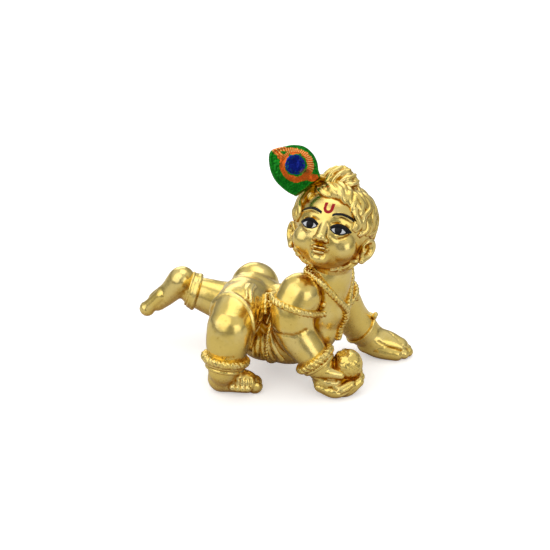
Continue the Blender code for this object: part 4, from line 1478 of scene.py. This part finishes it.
class Sums:
    """Lays Math nodes in a node tree, one for each sum asked for."""

    def __init__(self, tree):
        self.tree = tree

    def put(self, socket, value):
        """Feed a socket from another socket or with a plain value."""
        if isinstance(value, bpy.types.NodeSocket):
            self.tree.links.new(value, socket)
        else:
            socket.default_value = value

    def node(self, kind, **settings):
        """A new node with its settings."""
        node = self.tree.nodes.new("ShaderNode" + kind)
        for name, value in settings.items():
            setattr(node, name, value)
        return node

    def math(self, operation, *values, clamp=False):
        """One Math node, whose shorthands follow."""
        node = self.node("Math", operation=operation, use_clamp=clamp)
        for socket, value in zip(node.inputs, values):
            self.put(socket, value)
        return node.outputs[0]

    times = partialmethod(math, "MULTIPLY")
    plus = partialmethod(math, "ADD")
    minus = partialmethod(math, "SUBTRACT")
    least = partialmethod(math, "MINIMUM")
    most = partialmethod(math, "MAXIMUM")
    size = partialmethod(math, "ABSOLUTE")

    def step(self, value, low, high):
        """0 at low and 1 at high, with a soft run between."""
        node = self.node("MapRange", interpolation_type="SMOOTHSTEP")
        for socket, given in zip(node.inputs, (value, low, high, 0.0, 1.0)):
            self.put(socket, given)
        return node.outputs[0]

    def mix(self, factor, first, second):
        """The first colour at factor 0 and the second at 1."""
        node = self.node("Mix", data_type="RGBA", clamp_factor=True)
        for k, value in ((0, factor), (6, first), (7, second)):
            self.put(node.inputs[k], value)
        return node.outputs[2]

    def noise(self, vector, scale, detail=2.0, rough=0.5):
        """Cloudy values round 0.5."""
        node = self.node("TexNoise")
        values = {"Vector": vector, "Scale": scale, "Detail": detail, "Roughness": rough}
        for label, value in values.items():
            self.put(node.inputs[label], value)
        return node.outputs["Fac"]

    def mask(self, name):
        """A mask that mark_hollows wrote."""
        return self.node("Attribute", attribute_name=name).outputs["Fac"]

    def millimetres(self):
        """Object coordinates in millimetres."""
        scale = self.node("Mapping", vector_type="POINT")
        self.put(scale.inputs["Vector"], self.node("TexCoord").outputs["Object"])
        self.put(scale.inputs["Scale"], (1000, 1000, 1000))
        return scale.outputs["Vector"]

    def in_axes(self, axes):
        """Object coordinates in a set of axes, in its pattern millimetres, split up."""
        where, turn, scale = axes.decompose()
        place = self.node("TexCoord").outputs["Object"]
        move = self.node("Mapping", vector_type="TEXTURE")
        for k, value in enumerate((place, where, turn.to_euler("XYZ"), scale)):
            self.put(move.inputs[k], value)
        split = self.node("SeparateXYZ")
        self.put(split.inputs[0], move.outputs["Vector"])
        return move.outputs["Vector"], *split.outputs[:3]

    def gap(self, x, y, from_x, from_y, stretch_x=1.0, stretch_y=1.0):
        """Distance in a plane from a place, with each side's scale."""
        dx = self.times(self.minus(x, from_x), stretch_x)
        dy = self.times(self.minus(y, from_y), stretch_y)
        return self.math("SQRT", self.plus(self.times(dx, dx), self.times(dy, dy)))

    def from_line(self, x, y, first, second):
        """Distance in a plane from the straight line between two places."""
        run = Vector(second) - Vector(first)
        dx = self.minus(x, first[0])
        dy = self.minus(y, first[1])
        share = self.plus(
            self.times(dx, run.x / run.length_squared),
            self.times(dy, run.y / run.length_squared),
            clamp=True,
        )
        dx = self.minus(dx, self.times(share, run.x))
        dy = self.minus(dy, self.times(share, run.y))
        return self.gap(dx, dy, 0.0, 0.0)


def gold_tones():
    """The plate's three tones by their labels."""
    colours = bpy.context.scene.idol_colours
    return [
        (label, tuple(value))
        for label, value in (
            ("Bright gold", colours.bright_gold),
            ("Gold", colours.gold),
            ("Deep gold", colours.shade_gold),
        )
    ]


def plating_group():
    """Gold plate: pale on crests, as polish with a painted highlight; plain on open skin; brown
    lacquer with painted shade in hollows, enclosed places and on undersides; and pits.
    """
    name = "gold plating"
    if name in bpy.data.node_groups:
        return bpy.data.node_groups[name]
    tree = bpy.data.node_groups.new(name, "ShaderNodeTree")
    face = tree.interface
    for label, value in gold_tones():
        socket = face.new_socket(label, in_out="INPUT", socket_type="NodeSocketColor")
        socket.default_value = value
    for label in ("Lacquer", "Unevenness", "Pits"):
        socket = face.new_socket(label, in_out="INPUT", socket_type="NodeSocketFloat")
        socket.default_value = 1.0
    for label, kind in (("Colour", "Color"), ("Roughness", "Float"), ("Height", "Float")):
        face.new_socket(label, in_out="OUTPUT", socket_type="NodeSocket" + kind)
    given = tree.nodes.new("NodeGroupInput").outputs
    put = tree.nodes.new("NodeGroupOutput").inputs
    sums = Sums(tree)
    place = sums.millimetres()
    hollow_shade, crest_highlight = sums.mask("hollow_shade"), sums.mask("crest_highlight")
    cloud = sums.noise(place, 0.16, 3.0, 0.55)
    mottle = sums.noise(place, 0.9, 4.0, 0.6)
    grain = sums.noise(place, 5.5, 3.0, 0.6)
    facing = sums.node("SeparateXYZ")
    sums.put(facing.inputs[0], sums.node("NewGeometry").outputs["Normal"])
    # Painted shade: places that face downwards get the brown colour.
    under = sums.times(sums.step(facing.outputs[2], 0.35, -0.75), 0.42)
    # Brown lacquer mixed with painted shade in hollows and on undersides, with a random mottle.
    shade_and_lacquer = sums.plus(sums.plus(hollow_shade, under), sums.times(sums.minus(mottle, 0.5), 0.22))
    shade_and_lacquer = sums.times(sums.step(shade_and_lacquer, 0.05, 0.66), given["Lacquer"], clamp=True)
    tone = sums.times(sums.step(cloud, 0.42, 0.66), 0.35)
    base = sums.mix(tone, given["Gold"], given["Bright gold"])
    # Painted highlight with polish: crests take the paler plate.
    base = sums.mix(sums.times(sums.step(crest_highlight, 0.1, 0.8), 0.8), base, given["Bright gold"])
    base = sums.mix(shade_and_lacquer, base, given["Deep gold"])
    pit = sums.times(sums.step(sums.noise(place, 2.6, 1.0, 0.4), 0.70, 0.78), given["Pits"])
    base = sums.mix(sums.times(pit, 0.7), base, given["Deep gold"])
    tree.links.new(base, put["Colour"])
    rough = sums.plus(0.19, sums.times(sums.step(mottle, 0.35, 0.75), 0.05))
    rough = sums.plus(rough, sums.times(shade_and_lacquer, 0.10))
    rough = sums.plus(rough, sums.times(grain, 0.05))
    tree.links.new(rough, put["Roughness"])
    height = sums.times(sums.noise(place, 0.45, 1.0, 0.4), 1.3)
    height = sums.plus(height, sums.times(mottle, 0.15))
    height = sums.plus(height, sums.times(grain, 0.03))
    height = sums.minus(height, sums.times(pit, 0.3))
    height = sums.times(height, given["Unevenness"])
    tree.links.new(height, put["Height"])
    return tree


def gold_material(name, shade_and_lacquer, unevenness, pits):
    """A gilt finish with its own shares. Gives (material, Sums, group, surface)."""
    material = bpy.data.materials.new(name)
    material.use_nodes = True
    tree = material.node_tree
    surface = tree.nodes["Principled BSDF"]
    plating = tree.nodes.new("ShaderNodeGroup")
    plating.node_tree = plating_group()
    shares = (("Lacquer", shade_and_lacquer), ("Unevenness", unevenness), ("Pits", pits))
    for label, value in (*gold_tones(), *shares):
        plating.inputs[label].default_value = value
    bump = tree.nodes.new("ShaderNodeBump")
    bump.inputs["Strength"].default_value = BUMP_STRENGTH
    bump.inputs["Distance"].default_value = BUMP_DEPTH
    for source, label, target in (
        (plating.outputs["Height"], "Height", bump),
        (bump.outputs["Normal"], "Normal", surface),
        (plating.outputs["Colour"], "Base Color", surface),
        (plating.outputs["Roughness"], "Roughness", surface),
    ):
        tree.links.new(source, target.inputs[label])
    surface.inputs["Metallic"].default_value = 1.0
    return material, Sums(tree), plating, surface


def painted_face_material():
    """The head's plate, with brows, eyes and brow mark painted on by the usual drawing."""
    material, sums, plating, surface = gold_material(
        "painted gilt face", shade_and_lacquer=1.15, unevenness=0.7, pits=0.3
    )
    tree = material.node_tree
    colours = bpy.context.scene.idol_colours
    place, x, y, z = sums.in_axes(HEAD)
    wobble = sums.times(sums.minus(sums.noise(place, 1.1, 2.0), 0.5), 0.22)
    side = sums.size(x)
    front = sums.step(y, 5.0, 5.6)

    def inside(distance):
        """1 where the distance is above 0 on the face's front, with a hand-painted edge."""
        return sums.times(sums.step(sums.plus(distance, wobble), -0.05, 0.05), front)

    def disc(x, height, radius):
        """Depth inside a circle beside the nose."""
        return sums.minus(radius, sums.gap(side, z, x, height))

    # Eye: the lens where two circles meet. Its upper arc carries the lashes.
    low_arc = disc(4.2, -3.45, 3.05)
    high_arc = disc(4.2, 0.65, 3.05)
    lens = sums.least(low_arc, high_arc)
    white = inside(lens)
    iris = inside(sums.least(lens, sums.minus(1.05, sums.gap(side, z, 4.1, -1.25, 1.0, 0.85))))
    lash_lens = sums.least(disc(4.5, -3.0, 3.6), disc(4.5, 1.25, 3.6))
    lash = inside(sums.least(lash_lens, sums.minus(0.0, low_arc)))
    rim = inside(sums.minus(0.17, sums.size(lens)))
    ring = sums.minus(sums.gap(side, z, 4.4, -2.75), 5.55)
    brow = sums.least(disc(4.4, -1.7, 5.35), ring)
    brow = inside(sums.least(brow, sums.least(sums.minus(z, 1.2), sums.minus(side, 1.5))))
    black = sums.most(sums.most(iris, lash), sums.most(rim, brow))
    # Brow mark: two strokes joined by a half ring.
    upright = sums.size(sums.minus(side, 1.0))
    curve = sums.size(sums.minus(sums.gap(x, z, 0.0, 4.0), 1.0))
    over = sums.math("GREATER_THAN", z, 4.0)
    stroke = sums.plus(sums.times(upright, over), sums.times(curve, sums.minus(1.0, over)))
    stroke = sums.least(sums.minus(0.42, stroke), sums.minus(5.6, z))
    mark = inside(stroke)
    colour = sums.mix(white, plating.outputs["Colour"], tuple(colours.eye_white))
    colour = sums.mix(black, colour, tuple(colours.line_black))
    colour = sums.mix(mark, colour, tuple(colours.mark_red))
    paint = sums.most(sums.most(white, black), mark)
    tree.links.new(colour, surface.inputs["Base Color"])
    tree.links.new(sums.minus(1.0, paint), surface.inputs["Metallic"])
    rough = sums.plus(plating.outputs["Roughness"], sums.times(paint, 0.12))
    tree.links.new(rough, surface.inputs["Roughness"])
    surface.inputs["Specular IOR Level"].default_value = 0.2
    return material


def plume_material():
    """Glossy enamel over gold: green, an orange ring with gilt barbs, and a blue eye."""
    material, sums, plating, surface = gold_material(
        "enamelled plume", shade_and_lacquer=0.6, unevenness=0.6, pits=0.2
    )
    tree = material.node_tree
    colours = bpy.context.scene.idol_colours
    place, x, y, z = sums.in_axes(plume_axes())
    edge = sums.times(sums.minus(sums.noise(place, 0.75, 3.0, 0.6), 0.5), 1.5)
    fine = sums.times(sums.minus(sums.noise(place, 2.4, 2.0), 0.5), 0.6)
    ragged = sums.plus(edge, fine)
    front = sums.step(z, -0.4, 0.1)
    from_eye = sums.gap(x, y, *EYE_CENTRE)
    blue = sums.minus(2.75, from_eye)
    blue = sums.step(sums.plus(blue, sums.times(ragged, 0.45)), -0.08, 0.08)
    ring = sums.minus(4.55, sums.gap(x, y, 0.8, 0.55, 0.96, 1.0))
    arms = [
        sums.minus(half, sums.from_line(x, y, first, second))
        for first, second, half in (
            ((-5.4, 5.2), (-3.4, 2.8), 0.75), ((-5.4, 5.3), (0.5, 5.0), 0.55),
            ((3.6, -2.4), (5.8, -2.9), 1.0),
        )
    ]
    orange = ring
    for arm in arms:
        orange = sums.most(orange, arm)
    orange = sums.step(sums.plus(orange, sums.times(ragged, 0.8)), -0.10, 0.10)
    bare = sums.minus(3.15, sums.gap(x, y, 0.55, 0.75))
    bare = sums.step(sums.plus(bare, sums.times(ragged, 1.3)), -0.06, 0.10)
    orange = sums.times(orange, sums.minus(1.0, bare))
    mottle = sums.noise(place, 1.3, 3.0, 0.6)
    green = sums.mix(
        sums.step(mottle, 0.35, 0.7), tuple(colours.plume_green), (0.004, 0.30, 0.008, 1)
    )
    orange_tone = sums.mix(
        sums.step(mottle, 0.4, 0.68), tuple(colours.plume_orange), (0.60, 0.16, 0.010, 1)
    )
    blue_tone = sums.mix(
        sums.step(mottle, 0.4, 0.7), tuple(colours.plume_blue), (0.002, 0.006, 0.16, 1)
    )
    colour = sums.mix(orange, green, orange_tone)
    # Gilt barbs rubbed through on the ring's upper and right side.
    angle = sums.math("ARCTAN2", sums.minus(y, EYE_CENTRE.y), sums.minus(x, EYE_CENTRE.x))
    waves = sums.math(
        "SINE", sums.plus(sums.times(angle, 46.0), sums.times(from_eye, 1.2))
    )
    rubbed = sums.times(
        sums.step(waves, 0.35, 0.9), sums.step(sums.plus(sums.times(x, 0.5), y), 0.6, 2.6)
    )
    rubbed = sums.times(rubbed, orange)
    rubbed = sums.times(rubbed, sums.step(from_eye, 3.2, 3.7))
    colour = sums.mix(sums.times(rubbed, 0.85), colour, plating.outputs["Colour"])
    fleck = sums.times(
        sums.step(sums.noise(place, 2.1, 2.0, 0.6), 0.56, 0.64),
        sums.step(from_eye, 1.4, 2.2),
    )
    blue_tone = sums.mix(sums.times(fleck, 0.8), blue_tone, tuple(colours.plume_green))
    colour = sums.mix(blue, colour, blue_tone)
    stain = sums.step(
        sums.plus(sums.minus(0.9, sums.gap(x, y, 2.9, -1.0, 0.5, 1.0)), sums.times(ragged, 0.6)),
        0.0,
        0.5,
    )
    colour = sums.mix(sums.times(stain, 0.55), colour, (0.16, 0.06, 0.01, 1))
    colour = sums.mix(front, green, colour)
    tree.links.new(colour, surface.inputs["Base Color"])
    metal = sums.plus(0.80, sums.times(rubbed, 0.20))
    tree.links.new(metal, surface.inputs["Metallic"])
    tree.links.new(sums.plus(0.16, sums.times(mottle, 0.18)), surface.inputs["Roughness"])
    surface.inputs["Coat Weight"].default_value = 0.12
    surface.inputs["Coat Roughness"].default_value = 0.07
    return material


# ---------------------------------------------------------------- stage

def make_stage():
    """Pale floor, soft lights and the camera."""
    scene = bpy.context.scene
    form = bmesh.new()
    bmesh.ops.create_grid(form, x_segments=8, y_segments=8, size=3.0)
    mesh = mesh_of(form, "floor")
    floor = bpy.data.objects.new("floor", mesh)
    floor.location = (0, 0, LOW.z - 0.00005)
    scene.collection.objects.link(floor)
    paper = bpy.data.materials.new("white paper")
    paper.use_nodes = True
    surface = paper.node_tree.nodes["Principled BSDF"]
    surface.inputs["Roughness"].default_value = 0.9
    surface.inputs["Specular IOR Level"].default_value = 0.1
    sums = Sums(paper.node_tree)
    seen = sums.node("LightPath").outputs["Is Camera Ray"]
    tone = sums.noise(sums.millimetres(), 0.02, 2.0)
    white = sums.mix(tone, (0.93, 0.93, 0.93, 1), (0.96, 0.96, 0.955, 1))
    paper.node_tree.links.new(
        sums.mix(seen, (0.67, 0.66, 0.64, 1), white), surface.inputs["Base Color"]
    )
    surface.inputs["Emission Color"].default_value = (1.0, 1.0, 1.0, 1)
    paper.node_tree.links.new(sums.times(seen, 0.44), surface.inputs["Emission Strength"])
    mesh.materials.append(paper)

    world = bpy.data.worlds.new("studio")
    world.use_nodes = True
    scene.world = world
    tree = world.node_tree
    background = tree.nodes["Background"]
    sums = Sums(tree)
    place = sums.node("TexCoord").outputs["Generated"]
    split = sums.node("SeparateXYZ")
    sums.put(split.inputs[0], place)
    rise = split.outputs[2]
    toward = sums.node("VectorMath", operation="DOT_PRODUCT")
    sums.put(toward.inputs[0], place)
    sums.put(toward.inputs[1], Vector((0.50, -0.70, 0.51)).normalized())
    patch = sums.step(toward.outputs["Value"], 0.93, 0.99)
    sky = sums.mix(sums.step(rise, 0.0, 0.7), (0.34, 0.34, 0.34, 1), (1.0, 1.0, 1.0, 1))
    sky = sums.mix(sums.times(patch, 0.6), sky, (0.16, 0.17, 0.16, 1))
    tree.links.new(sky, background.inputs["Color"])
    background.inputs["Strength"].default_value = 0.64

    target = BODY @ Vector(VIEW_TARGET)
    # Each light's name, direction from the idol, distance, size, power and colour.
    for name, direction, far, size, power, colour in (
        ("key", (-0.35, -0.75, 0.75), 0.48, 0.60, 0.80, (1.0, 0.985, 0.95)),
        ("fill", (0.95, -0.35, 0.35), 0.42, 0.26, 0.20, (1.0, 0.99, 0.97)),
        ("crown", (-0.1, 0.35, 1.0), 0.42, 0.34, 0.32, (1.0, 1.0, 1.0)),
        ("rear", (-0.8, 0.9, 0.35), 0.45, 0.22, 0.20, (1.0, 0.98, 0.95)),
    ):
        light = bpy.data.lights.new(name, "AREA")
        light.shape = "SQUARE"
        light.size = size
        light.energy = power
        light.color = colour
        lamp = bpy.data.objects.new(name, light)
        direction = Vector(direction).normalized()
        lamp.location = target + direction * far
        lamp.rotation_euler = (-direction).to_track_quat("-Z", "Y").to_euler()
        scene.collection.objects.link(lamp)

    lens = bpy.data.cameras.new("camera")
    lens.sensor_width = SENSOR_WIDTH
    lens.lens = SENSOR_WIDTH * CAMERA_GAP / VIEW_WIDTH
    camera = bpy.data.objects.new("camera", lens)
    camera.location = target + VIEW_DIRECTION * CAMERA_GAP
    camera.rotation_euler = (-VIEW_DIRECTION).to_track_quat("-Z", "Y").to_euler()
    scene.collection.objects.link(camera)
    scene.camera = camera
    scene.view_settings.view_transform = "Standard"
    scene.view_settings.look = "None"


# ---------------------------------------------------------------- add-on

def finish_named(name, *values):
    """The gilt finish of that name, made once."""
    if name not in bpy.data.materials:
        gold_material(name, *values)
    return bpy.data.materials[name]


def gilt_skin():
    """Smooth gilt of skin and limbs."""
    return finish_named("gilt skin", 1.0, 1.0, 1.0)


def gilt_carving():
    """Rougher gilt with more lacquer and painted shade in its hollows, for hair, cloth and
    ornaments.
    """
    return finish_named("gilt carving", 1.3, 1.4, 0.8)


class IDOL_OT_body(bpy.types.Operator):
    """Cast the trunk and limbs with the cloth's hems"""

    bl_idname = "idol.body"
    bl_label = "Trunk and limbs"

    def execute(self, context):
        make_body(context.scene.idol_sizes, gilt_skin())
        return {"FINISHED"}


class IDOL_OT_cloth(bpy.types.Operator):
    """Carve the loincloth's pleats"""

    bl_idname = "idol.cloth"
    bl_label = "Loincloth pleats"

    def execute(self, context):
        make_cloth(context.scene.idol_sizes, gilt_carving())
        return {"FINISHED"}


class IDOL_OT_head(bpy.types.Operator):
    """Model the head with its painted face and ears"""

    bl_idname = "idol.head"
    bl_label = "Head"

    def execute(self, context):
        make_head_piece(context.scene.idol_sizes, painted_face_material())
        return {"FINISHED"}


class IDOL_OT_hair(bpy.types.Operator):
    """Lay the locks of hair and the top-knot"""

    bl_idname = "idol.hair"
    bl_label = "Hair and top-knot"

    def execute(self, context):
        material = gilt_carving()
        make_hair_piece(context.scene.idol_sizes, material)
        make_top_knot_piece(context.scene.idol_sizes, material)
        return {"FINISHED"}


class IDOL_OT_hands(bpy.types.Operator):
    """Model both hands"""

    bl_idname = "idol.hands"
    bl_label = "Hands"

    def execute(self, context):
        make_hands(context.scene.idol_sizes, gilt_skin())
        return {"FINISHED"}


class IDOL_OT_feet(bpy.types.Operator):
    """Model both feet"""

    bl_idname = "idol.feet"
    bl_label = "Feet"

    def execute(self, context):
        make_feet(context.scene.idol_sizes, gilt_skin())
        return {"FINISHED"}


class IDOL_OT_chains(bpy.types.Operator):
    """Lay the waist chain, necklace and armlets"""

    bl_idname = "idol.chains"
    bl_label = "Chains"

    def execute(self, context):
        make_chains(context.scene.idol_sizes, gilt_carving())
        return {"FINISHED"}


class IDOL_OT_rings(bpy.types.Operator):
    """Put on the bangles and anklets"""

    bl_idname = "idol.rings"
    bl_label = "Bangles and anklets"

    def execute(self, context):
        make_rings(context.scene.idol_sizes, gilt_carving())
        return {"FINISHED"}


class IDOL_OT_sweet(bpy.types.Operator):
    """Put the sweet in the right hand"""

    bl_idname = "idol.sweet"
    bl_label = "Sweet"

    def execute(self, context):
        make_sweet_ball(context.scene.idol_sizes, gilt_carving())
        return {"FINISHED"}


class IDOL_OT_plume(bpy.types.Operator):
    """Model and enamel the plume"""

    bl_idname = "idol.plume"
    bl_label = "Plume"

    def execute(self, context):
        make_plume_piece(context.scene.idol_sizes, plume_material())
        return {"FINISHED"}


class IDOL_OT_stage(bpy.types.Operator):
    """Set out the floor, lights and camera"""

    bl_idname = "idol.stage"
    bl_label = "Stage"

    def execute(self, context):
        make_stage()
        return {"FINISHED"}


MAKERS = (
    IDOL_OT_stage,
    IDOL_OT_body,
    IDOL_OT_cloth,
    IDOL_OT_hands,
    IDOL_OT_feet,
    IDOL_OT_head,
    IDOL_OT_hair,
    IDOL_OT_chains,
    IDOL_OT_rings,
    IDOL_OT_sweet,
    IDOL_OT_plume,
)


class IDOL_PT_maker(bpy.types.Panel):
    """Sizes, colours and makers of the idol"""

    bl_idname = "IDOL_PT_maker"
    bl_label = "Idol"
    bl_space_type = "VIEW_3D"
    bl_region_type = "UI"
    bl_category = "Idol"

    def draw(self, context):
        for group in (context.scene.idol_sizes, context.scene.idol_colours):
            for name in group.bl_rna.properties.keys():
                if name not in ("rna_type", "name"):
                    self.layout.prop(group, name)
        for maker in MAKERS:
            self.layout.operator(maker.bl_idname)


CLASSES = (CastingSizes, PlatingColours, *MAKERS, IDOL_PT_maker)


def register():
    for kind in CLASSES:
        bpy.utils.register_class(kind)
    bpy.types.Scene.idol_sizes = PointerProperty(type=CastingSizes)
    bpy.types.Scene.idol_colours = PointerProperty(type=PlatingColours)


def unregister():
    del bpy.types.Scene.idol_colours
    del bpy.types.Scene.idol_sizes
    for kind in reversed(CLASSES):
        bpy.utils.unregister_class(kind)


def main():
    register()
    bpy.ops.idol.stage()
    bpy.ops.idol.body()
    bpy.ops.idol.cloth()
    bpy.ops.idol.hands()
    bpy.ops.idol.feet()
    bpy.ops.idol.head()
    bpy.ops.idol.hair()
    bpy.ops.idol.chains()
    bpy.ops.idol.rings()
    bpy.ops.idol.sweet()
    bpy.ops.idol.plume()


if __name__ == "__main__":
    main()
